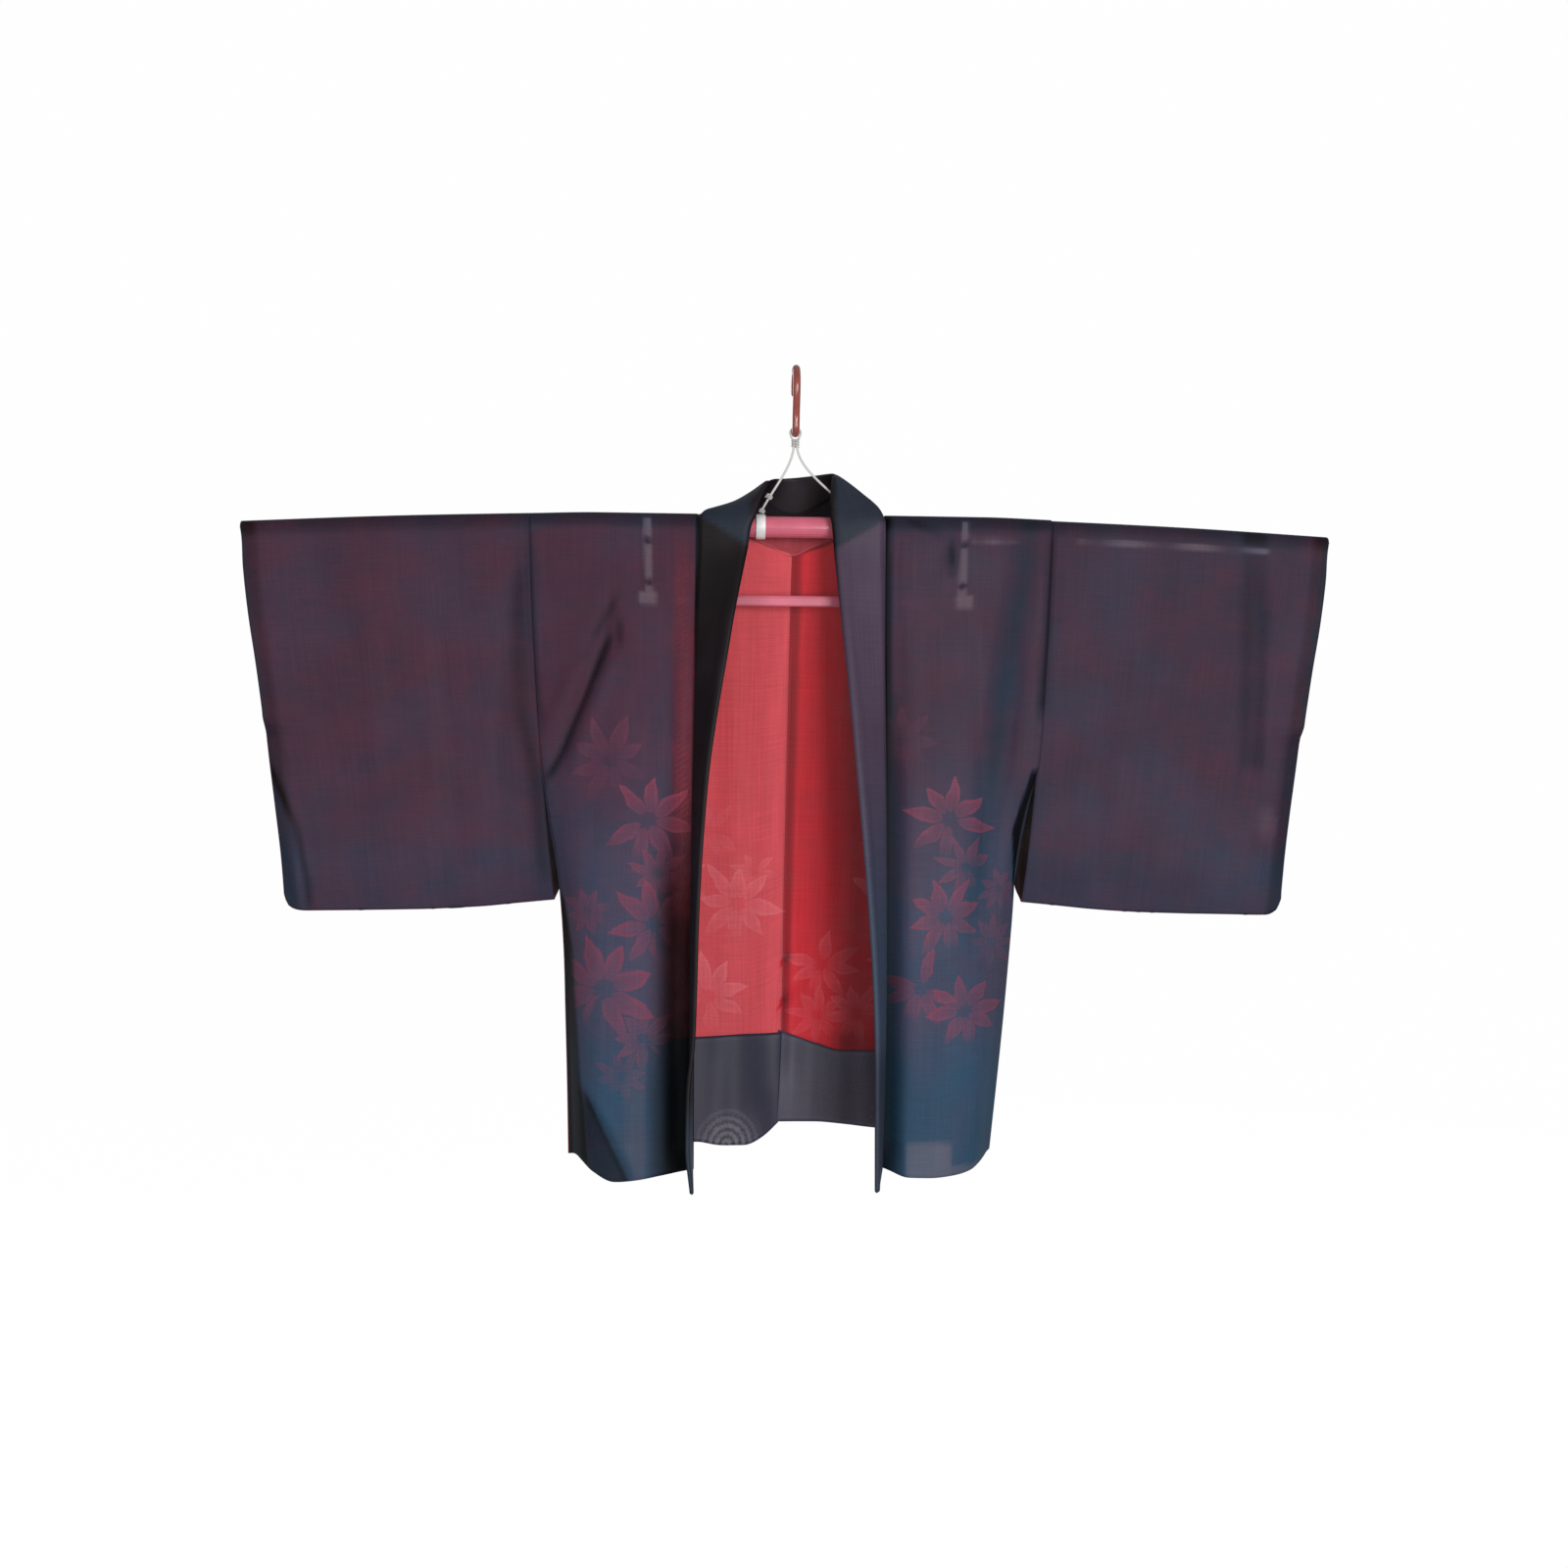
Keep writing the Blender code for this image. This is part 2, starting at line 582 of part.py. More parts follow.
def ring_band(name, centre_x, width, inner, outer, finish, segments=32):
    """A band round the bar's axis."""
    work = bmesh.new()
    bmesh.ops.create_cone(work, cap_ends=False, segments=segments, radius1=outer, radius2=outer,
                          depth=width)
    bmesh.ops.rotate(work, verts=work.verts, cent=(0, 0, 0), matrix=Matrix.Rotation(math.pi / 2, 3, "Y"))
    bmesh.ops.translate(work, verts=work.verts, vec=at_bar(centre_x, 0, 0))
    piece = finish_bmesh(name, work, finish)
    wall = piece.modifiers.new("wall", "SOLIDIFY")
    wall.thickness = outer - inner
    wall.offset = -1
    wall.use_even_offset = True
    return piece


def arm(side, finish):
    """A sliding arm, straight inside the tube and drooping a little under the sleeve."""
    sign = SIGN[side]
    inner = TUBE_HALF - ARM_INSERTED
    reaches = [inner, TUBE_HALF] + list(np.linspace(TUBE_HALF + 0.03, ARM_REACH, 9))
    points = []
    for reach in reaches:
        x = HANGER_MIDDLE + sign * reach
        drop = arm_axis(abs(x)) if abs(x) > 0.235 else 0
        points.append(at_bar(x, 0, drop))
    tube_along(f"bar_arm_{side}", points, ARM_RADIUS, finish)


def strap_outline():
    """Middle line of a strap's belt in Y and height: over the arm, pinched, and round the cap."""
    half = STRAP_THICK / 2
    over = ARM_RADIUS + REST_GAP + half
    waist = half + REST_GAP
    under_depth = CAP_DEPTH / 2 + REST_GAP + half
    under_half = CAP_HEIGHT / 2 + REST_GAP + half
    right_half = [(over * math.sin(math.radians(a)), over * math.cos(math.radians(a)))
                  for a in range(0, 136, 15)]
    right_half += [(waist, -0.0155), (waist, -0.045), (waist, CAP_MIDDLE + under_half + 0.0045)]
    corner = 0.0030
    for centre_z, start in ((CAP_MIDDLE + under_half - corner, 60), (CAP_MIDDLE - under_half + corner, 0)):
        stop = start - (60 if start else 90)
        for step in range(4):
            angle = math.radians(start + (stop - start) * step / 3)
            right_half.append((under_depth - corner + corner * math.cos(angle),
                               centre_z + corner * math.sin(angle)))
    right_half.append((0, CAP_MIDDLE - under_half))
    left_half = [(-y, z) for y, z in reversed(right_half[1:-1])]
    return right_half + left_half


def strap(side, finish):
    outline = strap_outline()
    sign = SIGN[side]
    lean = STRAP_LEAN[side]
    half = STRAP_WIDTH / 2

    def place(row, column):
        y, z = outline[row % len(outline)]
        sunk = min(max(-z / -CAP_MIDDLE, 0), 1)
        return at_bar(HANGER_MIDDLE + sign * STRAP_OFFSET + lean * sunk + column * half, y, z)

    belt = cloth_piece(f"strap_{side}", place, list(range(len(outline) + 1)), [-1, 1], finish,
                       thickness=STRAP_THICK, flip=True)
    belt.modifiers["wall"].offset = 0


def snap(side, level, finish):
    """A press stud on the front of a strap."""
    height = SNAP_HEIGHTS[level]
    depth = 0.0016
    lean = STRAP_LEAN[side] * height / CAP_MIDDLE
    front = -(STRAP_THICK + REST_GAP) - REST_GAP - depth / 2
    work = bmesh.new()
    made = bmesh.ops.create_cone(work, cap_ends=True, segments=20, radius1=SNAP_RADIUS,
                                 radius2=SNAP_RADIUS * 0.72, depth=depth)
    bmesh.ops.rotate(work, verts=made["verts"], cent=(0, 0, 0),
                     matrix=Matrix.Rotation(math.pi / 2, 3, "X"))
    x = HANGER_MIDDLE + SIGN[side] * STRAP_OFFSET + lean
    bmesh.ops.translate(work, verts=work.verts, vec=at_bar(x, front, height))
    finish_bmesh(f"strap_snap_{side}_{level}", work, finish)


def end_cap(side, finish):
    """A cap with a blind socket for the lower bar."""
    sign = SIGN[side]
    work = bmesh.new()
    bmesh.ops.create_cube(work, size=1)
    bmesh.ops.scale(work, verts=work.verts, vec=(CAP_LENGTH, CAP_DEPTH, CAP_HEIGHT))
    lengthwise = [edge for edge in work.edges if abs(edge.verts[0].co.x - edge.verts[1].co.x) > 0.01]
    outer_edges = [edge for edge in work.edges if all(v.co.x * sign > 0 for v in edge.verts)]
    bmesh.ops.bevel(work, geom=list(set(lengthwise + outer_edges)), offset=0.0026, segments=2,
                    profile=0.5, affect="EDGES", material=-1)
    mouth = min(work.faces, key=lambda face: face.calc_center_median().x * sign)
    bmesh.ops.inset_region(work, faces=[mouth], thickness=CAP_WALL, use_even_offset=True)
    floor = bmesh.ops.extrude_face_region(work, geom=[mouth])
    moved = [item for item in floor["geom"] if isinstance(item, bmesh.types.BMVert)]
    bmesh.ops.delete(work, geom=[mouth], context="FACES_ONLY")
    bmesh.ops.translate(work, verts=moved, vec=(sign * (CAP_LENGTH - 0.004), 0, 0))
    bmesh.ops.recalc_face_normals(work, faces=work.faces)
    x = HANGER_MIDDLE + sign * (LOWER_BAR_REACH + CAP_LENGTH / 2 - 0.012)
    bmesh.ops.translate(work, verts=work.verts, vec=at_bar(x, 0, CAP_MIDDLE))
    finish_bmesh(f"lower_bar_cap_{side}", work, finish)


def lower_bar(finish):
    """The flat lower bar, ending inside its two caps."""
    clear = CAP_WALL + REST_GAP
    reach = LOWER_BAR_REACH - 0.012 + CAP_LENGTH - 0.0045
    work = bmesh.new()
    bmesh.ops.create_cube(work, size=1)
    bmesh.ops.scale(work, verts=work.verts,
                    vec=(2 * reach, CAP_DEPTH - 2 * clear, CAP_HEIGHT - 2 * clear))
    lengthwise = [edge for edge in work.edges if abs(edge.verts[0].co.x - edge.verts[1].co.x) > 0.01]
    bmesh.ops.bevel(work, geom=lengthwise, offset=0.0024, segments=3, profile=0.5, affect="EDGES",
                    material=-1)
    bmesh.ops.translate(work, verts=work.verts, vec=at_bar(HANGER_MIDDLE, 0, CAP_MIDDLE))
    finish_bmesh("lower_bar", work, finish)


def hook(finish):
    """An S of round rod: the mouth above, and a small curl below that carries the cord."""
    mouth = HOOK_MOUTH + HOOK_RADIUS
    curl = HOOK_CURL + HOOK_RADIUS
    curl_middle = BAR_HEIGHT + HOOK_FOOT + curl
    points = [(mouth * math.cos(a), mouth * math.sin(a) - HOOK_MOUTH)
              for a in np.radians(range(-20, 181, 20))]
    for t in (0.2, 0.4, 0.6, 0.8, 1.0):
        ease = t * t * (3 - 2 * t)
        points.append((-mouth + (mouth - curl) * ease, -HOOK_MOUTH + (curl_middle + HOOK_MOUTH) * t))
    points += [(curl * math.cos(a), curl_middle + curl * math.sin(a))
               for a in np.radians(range(205, 351, 24))]
    tube_along("hook", [(0, y, z) for y, z in points], HOOK_RADIUS, finish)


def cord(finish):
    """The cord: a leg up from each clip, tied together, and a bight over the hook's curl."""
    bight = HOOK_RADIUS + REST_GAP + CORD_RADIUS
    foot = TUBE_RADIUS + CLIP_WALL + CORD_RADIUS + 2 * REST_GAP
    half = {}
    for side, sign in SIGN.items():
        tied = CORD_X + sign * (CORD_RADIUS + REST_GAP)
        half[side] = [(HANGER_MIDDLE + sign * CLIP_OFFSET, foot), (tied, CORD_PINCH)]
        half[side] += [(CORD_X + sign * bight * math.cos(a), HOOK_FOOT + bight * math.sin(a))
                       for a in np.radians((-35, 0, 30, 60))]
    run = half["right"] + [(CORD_X, HOOK_FOOT + bight)] + half["left"][::-1]
    tube_along("cord", [at_bar(x, 0, z) for x, z in run], CORD_RADIUS, finish, resolution=2)


def clear_scene():
    for item in list(bpy.data.objects):
        bpy.data.objects.remove(item, do_unlink=True)


def main():
    clear_scene()
    outer_silk = material("sheer_silk", (0.045, 0.032, 0.045), 0.6)
    facing_silk = material("facing_silk", (0.050, 0.045, 0.070), 0.6)
    rose = material("rose_plastic", (0.70, 0.21, 0.28), 0.3)
    white = material("white_plastic", (0.80, 0.80, 0.80), 0.4)
    dark = material("stud_metal", (0.08, 0.09, 0.11), 0.35, 0.6)
    copper = material("copper_plastic", (0.42, 0.17, 0.15), 0.25)
    white_cord = material("white_cord", (0.85, 0.85, 0.85), 0.8)
    for side in ("right", "left"):
        body_panels(side, outer_silk)
        hem_facing(side, facing_silk)
        gusset(side, outer_silk)
        sleeve(side, outer_silk)
        arm(side, rose)
        strap(side, white)
        end_cap(side, white)
        ring_band(f"cord_clip_{side}", HANGER_MIDDLE + SIGN[side] * CLIP_OFFSET, CLIP_WIDTH,
                  TUBE_RADIUS + REST_GAP, TUBE_RADIUS + REST_GAP + CLIP_WALL, white)
        for level in SNAP_HEIGHTS:
            snap(side, level, dark)
    collar(outer_silk)
    ring_band("bar_tube", HANGER_MIDDLE, 2 * TUBE_HALF, TUBE_BORE, TUBE_RADIUS, rose)
    lower_bar(rose)
    hook(copper)
    cord(white_cord)


if __name__ == "__main__":
    main()
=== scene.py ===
"""A sheer silk haori on its extending kimono hanger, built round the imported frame.

Metres, +Z up. The origin is inside the top of the hook, and the jacket faces -Y. The shape tables
are measured from the middle of the jacket and from the axis of the hanger's main bar.
"""
import math
from functools import partial

import bmesh
import bpy
import numpy as np
from bpy.props import FloatProperty, FloatVectorProperty, PointerProperty
from mathutils import Matrix, Vector


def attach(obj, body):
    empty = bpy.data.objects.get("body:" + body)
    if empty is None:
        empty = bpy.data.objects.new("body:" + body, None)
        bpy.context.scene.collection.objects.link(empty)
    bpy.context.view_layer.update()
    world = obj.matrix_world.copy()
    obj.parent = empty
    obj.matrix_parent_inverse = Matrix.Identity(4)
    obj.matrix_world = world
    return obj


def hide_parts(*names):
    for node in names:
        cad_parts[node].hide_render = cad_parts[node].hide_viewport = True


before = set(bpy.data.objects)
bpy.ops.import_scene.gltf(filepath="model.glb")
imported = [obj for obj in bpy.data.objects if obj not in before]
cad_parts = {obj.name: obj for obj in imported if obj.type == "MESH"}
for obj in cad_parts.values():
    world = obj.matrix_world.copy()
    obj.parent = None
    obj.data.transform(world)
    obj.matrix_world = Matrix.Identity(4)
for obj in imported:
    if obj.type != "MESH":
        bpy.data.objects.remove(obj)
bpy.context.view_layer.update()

bl_info = {
    "name": "Haori on a kimono hanger",
    "version": (1, 0, 0),
    "blender": (4, 5, 0),
    "location": "View3D > Sidebar > Haori",
    "description": "Builds a sheer silk haori, its hanger and a plain studio",
    "category": "Add Mesh",
}


def hexed(code):
    """Linear colour from an sRGB hex value."""
    parts = [int(code[at:at + 2], 16) / 255 for at in (1, 3, 5)]
    return (*(p / 12.92 if p <= 0.04045 else ((p + 0.055) / 1.055) ** 2.4 for p in parts), 1.0)


def mm(value):
    """Metres from millimetres, all through a table of them."""
    if isinstance(value, dict):
        return {key: mm(rows) for key, rows in value.items()}
    if isinstance(value, (list, tuple)):
        return type(value)(mm(item) for item in value)
    return value / 1000


# ---- hanger sizes
BAR_HEIGHT = -0.185          # axis of the main bar below the hook's resting point
HANGER_MIDDLE = 0.017        # the hanger sits this far towards the wearer's left
TUBE_RADIUS = 0.0128         # fixed middle tube of the bar
TUBE_BORE = 0.0114
TUBE_HALF = 0.180
ARM_RADIUS = 0.0108          # sliding arms, one out of each end of the tube
ARM_INSERTED = 0.060
ARM_REACH = 0.600            # arm tip, from the middle of the hanger
ROUNDED_END = 0.0008         # at both ends of the tube
STRAIGHT_REACH = 0.235       # beyond it an arm droops, from the middle of the jacket
STRAP_OFFSET = 0.190         # straps hang outside the ends of the tube
STRAP_WIDTH = 0.0094
STRAP_THICK = 0.0012
STRAP_LEAN = {"right": 0.0035, "left": -0.0050}   # sideways shift of a strap from top to bottom
SNAP_RADIUS = 0.0027
SNAP_HEIGHTS = {"upper": -0.020, "lower": -0.070}  # from the bar's axis
CAP_LENGTH = 0.0215
CAP_DEPTH = 0.0110
CAP_HEIGHT = 0.0160
CAP_WALL = 0.0011
CAP_END = 0.004              # thickness of its closed end
CAP_ROUNDING = 0.0026
CAP_MIDDLE = -0.0885         # middle of the lower bar, from the main bar's axis
CAP_LAP = 0.012              # each cap's mouth is this far inside the reach of the lower bar
LOWER_BAR_REACH = 0.190      # outer end of each cap, from the middle of the hanger
CLIP_OFFSET = 0.055          # cord clips on the tube, each side of the hanger's middle
CLIP_WIDTH = 0.0114
CLIP_WALL = 0.0020
CORD_RADIUS = 0.0014
CORD_X = 0.003               # the hook and the cord's bight, from the middle of the jacket
CORD_PINCH = 0.1005          # the two legs are tied together at this height above the bar's axis
HOOK_RADIUS = 0.0045         # rod of the hook
HOOK_MOUTH = 0.0170          # inner radius of the hook's mouth
HOOK_CURL = 0.0042           # inner radius of the lower curl that carries the cord
HOOK_FOOT = 0.1125           # middle of the rod at the bottom of that curl, above the bar's axis

STUD_PROFILE = [(1, 0), (1, 0.0005), (0.93, 0.0009), (0.80, 0.0008), (0.70, 0.0010), (0.45, 0.0015),
                (2 / 27, 0.0017)]   # a domed stud with a rolled rim: share of its radius, and height
KNOTS = [("right", 0.235, 0.00135), ("right", 0.03, 0.0011), ("left", 0.03, 0.0011)]  # leg, share up it, size
KNOT_STEPS = 72

# ---- cloth sizes
CLOTH = 0.0010               # from the wall's inner surface to where a sewn piece meets it
SEAM_GAP = -0.0020           # sewn pieces lap over each other
CORNER_GAP = -0.0010         # where two pieces meet at an angle
FACING_GAP = 0.0007          # between a back panel and the facing inside it
REST_GAP = 0.0003
COLLAR_FOLD = 0.0013         # inner radius of the collar's lengthwise fold
COLLAR_SHORT = 0.09          # its outer half ends at this share of the way from the seam to the fold
FOLD_TOP = 0.0152            # outer cloth surface above the bar's axis, at the neck

# Inner cloth surface over the bar, by distance from the middle of the jacket
TOP_LINE = mm([
    # reach, height of the cloth, height of the arm's axis
    (0, 13.6, 0),
    (230, 13.5, 0),
    (312, 11.2, -0.8),
    (480, 5.4, -6.3),
    (652, -3.4, -15.1),
])

# Front panels, one row for each height below the bar's axis: collar seam, chest, flank and side seam
FRONT = mm({
    "left": [
        # height, seam x, seam y, chest x, chest y, flank x, flank y, side x, side y
        (0, 111.4, -13.6, 180, -13.6, 250, -13.6, 312, -13.1),
        (-100, 110.4, -20, 180, -21, 250, -18, 308, -14),
        (-285, 110, -34, 172, -45, 242, -34, 296, -13),
        (-365, 110, -38, 165, -51.5, 231, -40.5, 274, -9),
        (-450, 110, -41, 158, -57, 224, -45, 268, -4),
        (-610, 109, -46, 152, -63, 217, -51, 257, 8),
        (-775, 104.5, -50, 150, -65, 206, -51, 242, 16),
    ],
    "right": [
        (0, 114, -13.6, 180, -13.6, 250, -13.6, 312, -13.1),
        (-100, 114, -20, 180, -22, 250, -18, 308, -14),
        (-285, 114, -31, 173, -43, 242, -34, 295, -13),
        (-450, 114, -40, 166, -56, 236, -45, 271, 2),
        (-610, 113, -46, 166, -62, 234, -49, 264, 13),
        (-775, 112, -50, 168, -64, 226, -49, 260, 21),
    ],
})
# Back panels: middle of the shoulder blade, then the gusset seam
BACK = mm({
    "left": [
        # height, blade x, blade y, gusset x, gusset y
        (0, 160, 13.7, 312, 13.1),
        (-100, 155, 30, 308, 14),
        (-285, 150, 46, 296, 13),
        (-450, 140, 54, 262, 25),
        (-610, 130, 58, 233, 40),
        (-775, 115, 60, 190, 50),
    ],
    "right": [
        (0, 160, 13.7, 312, 13.1),
        (-100, 155, 27, 308, 14),
        (-285, 150, 40, 295, 13),
        (-450, 140, 46, 265, 29),
        (-610, 130, 49, 246, 41),
        (-775, 115, 51, 212, 52),
    ],
})
# Centre back seam, shared by both back panels
SPINE = mm([
    # height, x, y
    (0, 1, 24),
    (-100, -0.5, 37),
    (-285, -2.5, 52),
    (-450, -4.5, 59),
    (-610, -6, 63),
    (-775, -14, 65),
])
# Neckline on the back panels: height against distance from the centre back
NECKLINE = {
    "left": [(-0.031, 0.0006), (-0.011, 0.050), (0.000, 0.076), (FOLD_TOP, 0.1114)],
    "right": [(-0.031, 0.0006), (-0.011, 0.050), (0.000, 0.076), (FOLD_TOP, 0.1140)],
}
NECK_FOOT = -0.031           # where the neckline crosses the centre back

# Hems: height against the way across a panel, 0 at its inner edge and 1 at its side seam
FRONT_HEM = {
    "left": [(0.0, -0.755), (0.25, -0.767), (0.50, -0.764), (0.72, -0.757), (1.0, -0.747)],
    "right": [(0.0, -0.758), (0.25, -0.765), (0.46, -0.771), (0.51, -0.770), (0.675, -0.757),
              (0.86, -0.749), (1.0, -0.753)],
}
BACK_HEM = {
    "left": [(0.0, -0.722), (0.15, -0.722), (0.55, -0.729), (1.0, -0.742)],
    "right": [(0.0, -0.723), (0.12, -0.746), (0.25, -0.752), (0.50, -0.745), (1.0, -0.747)],
}
FACING_TOP = {               # upper edge of the facing inside each back hem
    "left": [(0.0, -0.609), (0.20, -0.626), (0.36, -0.635), (1.0, -0.632)],
    "right": [(0.0, -0.612), (0.50, -0.618), (1.0, -0.622)],
}

# Where the collar folds, by height down a front: its distance from the middle, its Y, and its drop
COLLAR_FOLD_LINE = mm({
    "left": [
        (0, 47, -24, 4),
        (-30, 50, -28, 0),
        (-74, 54, -36, 0),
        (-174, 63, -60, 0),
        (-278, 72, -77, 0),
        (-380, 81, -88, 0),
        (-485, 89, -96, 0),
        (-605, 95, -101, 0),
        (-757, 96, -106, -19),
    ],
    "right": [
        (0, 50, -24, 3),
        (-30, 56, -28, 0),
        (-100, 69, -55, 0),
        (-176, 81, -71, 0),
        (-280, 97, -85, 0),
        (-429, 108, -96, 0),
        (-605, 113, -103, 0),
        (-700, 120, -105, 0),
        (-760, 113, -107, -18),
    ],
})
# Round the neck the collar opens out of its fold: a row for each step over the shoulder to the centre
NECK_STATIONS = mm({
    "left": [
        # fold x, y, z, then free edge x, y, z, above the bar's axis
        (47, -24, 4, 108, -19, 10),
        (45.5, -23, 11, 103.5, -14, 21),
        (45, -21, 19.5, 96, -8, 30),
        (45, -19, 30, 87, -3, 38),
        (46, -14, 41.5, 78, 1, 46),
        (47.5, -7, 53, 67, 5, 55),
        (49, 3, 61.5, 56, 9, 63),
        (51, 30, 45, 47, 17, 68),
        (28, 43, 28, 26, 28, 66.5),
    ],
    "right": [
        (50, -24, 3, 111, -19, 8),
        (46.5, -23, 10, 105, -14, 16),
        (43.5, -21, 18, 96, -8, 20),
        (41, -19, 27, 83, -3, 24.5),
        (37, -14, 37, 69, 1, 30),
        (33, -7, 47, 54, 5, 39),
        (29.5, 3, 55, 37, 9, 51),
        (33, 30, 42, 24, 17, 60),
        (18, 43, 26, 12, 28, 62.5),
    ],
})
NECK_CENTRE = mm((3, 46, 20, 6, 32, 64.5))

# Sleeves: outline by height, and half the space between the plies at the armhole and at the cuff
SLEEVE = mm([
    # height, inner edge, outer edge, half depth at the armhole, half depth at the cuff
    (0, 312, 650, 13.1, 11.9),
    (-80, 309.2, 643.5, 13.7, 12.5),
    (-200, 302.5, 626, 13.6, 10.5),
    (-285, 296.5, 615, 13, 9),
    (-380, 287.5, 603, 11.5, 8),
    (-462, 279, 596, 8, 6),
])
SLEEVE_HEM = [(0.0, -0.447), (0.40, -0.458), (1.0, -0.462)]
SLEEVE_CORNER = 0.020        # rounding of the sleeve's lower outer corner
CUFF_FOOT = 0.50             # the cuff is open above this share of the sleeve's drop and sewn below
SEW_TAPER = 0.055            # over this length the plies close towards a sewn edge
ARMHOLE_END = -0.287         # the gusset starts here
BACK_PLY_LEAD = 0.013        # the back ply hangs this much nearer the body than the front ply
GUSSET_BOW = 0.10            # how far a gusset bulges, as a share of its width

# ---- mesh rows and columns
FRONT_ROWS = [0.0, 0.05, 0.12, 0.20, 0.29, 0.38, 0.47, 0.55, 0.62, 0.70, 0.78, 0.86, 0.92, 0.96, 1.0]
ARC_STEPS = [30, 60, 90, 120, 150, 180]   # degrees over the shoulder
NECK_ROWS = [-0.011, -0.021, -0.031]      # heights down the neckline
BACK_ROWS = [0.04, 0.10, 0.18, 0.27, 0.36, 0.44, 0.53, 0.63, 0.73, 0.83, 0.92, 1.0]
PANEL_COLUMNS = [0.0, 0.08, 0.20, 0.34, 0.48, 0.62, 0.75, 0.86, 0.94, 1.0]
SLEEVE_COLUMNS = [0.0, 0.12, 0.27, 0.42, 0.57, 0.72, 0.84, 0.92, 0.965, 0.988, 1.0]
SLEEVE_ROWS = [0.0, 0.05, 0.12, 0.24, 0.36, 0.45, CUFF_FOOT, 0.64, 0.78, 0.90, 1.0]
GUSSET_ROWS = [0.0, 0.12, 0.28, 0.46, 0.64, 0.82, 1.0]
GUSSET_COLUMNS = [0.0, 0.33, 0.67, 1.0]
FACING_ROWS = [0.0, 0.35, 0.7, 1.0]
NECK_STEPS = [("front", 1.0)] + [("arc", s) for s in ARC_STEPS] + [("neck", s) for s in NECK_ROWS]

SIGN = {"left": 1, "right": -1}

# ---- how the cloth hangs: positive is away from the wearer
FRONT_WAVES = [
    # height, spacing across, lean, wander, phase
    (0.0006, 0.078, 0.05, 0.5, 0.4),
    (0.0010, 0.151, -0.08, 0.7, 2.1),
    (0.0002, 0.034, 0.03, 0.9, 1.2),
]
BACK_WAVES = [
    (0.0014, 0.092, -0.06, 0.6, 1.7),
    (0.0020, 0.173, 0.07, 0.8, 0.6),
    (0.0005, 0.037, -0.02, 0.8, 2.9),
]
# Ridges and troughs: height, width, and the points of the line, from the middle and the bar's axis
FRONT_CREASES = mm([
    (4.5, 10, [(-627, -230), (-600, -350), (-572, -470)]),
    (-3, 12, [(-645, -245), (-620, -350), (-592, -455)]),
    (-6, 8.5, [(-282, -300), (-254, -227), (-222, -140), (-215, -70)]),
    (3.2, 9, [(-262, -305), (-236, -230), (-203, -140)]),
    (2.8, 9, [(-300, -270), (-274, -215), (-246, -150)]),
    (-2.2, 6, [(-207, -105), (-206, -160)]),
    (-2.8, 7, [(-190, -185), (-180, -245)]),
    (-3, 8, [(-226, -110), (-250, -170)]),
    (3.5, 10, [(-240, -665), (-184, -757)]),
    (-3.5, 9, [(-126, -100), (-130, -308), (-134, -537), (-136, -760)]),
    (2.2, 12, [(-152, -160), (-158, -400), (-160, -700)]),
    (-4.2, 9, [(122, -10), (122, -306), (121, -536), (119, -760)]),
    (2, 11, [(143, -100), (144, -350), (139, -700)]),
    (1, 8, [(115, -12), (164, -24)]),
    (-2, 4.5, [(174, -20), (174, -66)]),
    (-3, 13, [(222, -90), (225, -260), (231, -430)]),
    (2.5, 12, [(262, -90), (262, -260), (258, -430)]),
    (-2.5, 12, [(300, -150), (262, -300), (238, -400)]),
    (2.6, 14, [(560, -40), (556, -200), (548, -330)]),
    (-2.4, 12, [(588, -50), (580, -210), (570, -330)]),
    (2.2, 16, [(420, -120), (395, -300), (378, -430)]),
    (-2.2, 14, [(-420, -100), (-402, -280), (-390, -430)]),
    (2.4, 16, [(-500, -90), (-486, -280), (-470, -430)]),
    (-2, 10, [(-330, -60), (-345, -200), (-350, -330)]),
])
BACK_CREASES = mm([
    (-4.5, 16, [(-12, -90), (-15, -300), (-19, -520), (-26, -735)]),
    (3, 12, [(12, -150), (10, -400), (8, -690)]),
    (4, 12, [(-20, -610), (6, -590), (42, -533)]),
    (-3, 10, [(-12, -575), (22, -540)]),
    (3, 5, [(-86, -390), (-44, -388)]),
    (3.6, 16, [(165, -60), (150, -300), (120, -690)]),
    (-3.4, 14, [(215, -100), (195, -330), (165, -650)]),
    (3.4, 15, [(-175, -70), (-160, -310), (-150, -680)]),
    (-3.4, 14, [(-225, -90), (-208, -320), (-190, -640)]),
    (3, 12, [(-300, -160), (-262, -300), (-236, -420)]),
    (3, 12, [(300, -160), (262, -300), (236, -420)]),
    (3, 14, [(600, -60), (585, -240), (560, -440)]),
    (-2.8, 13, [(455, -90), (440, -280), (420, -430)]),
    (2.8, 14, [(-595, -70), (-580, -250), (-552, -440)]),
    (-2.8, 13, [(-440, -90), (-430, -280), (-410, -430)]),
])
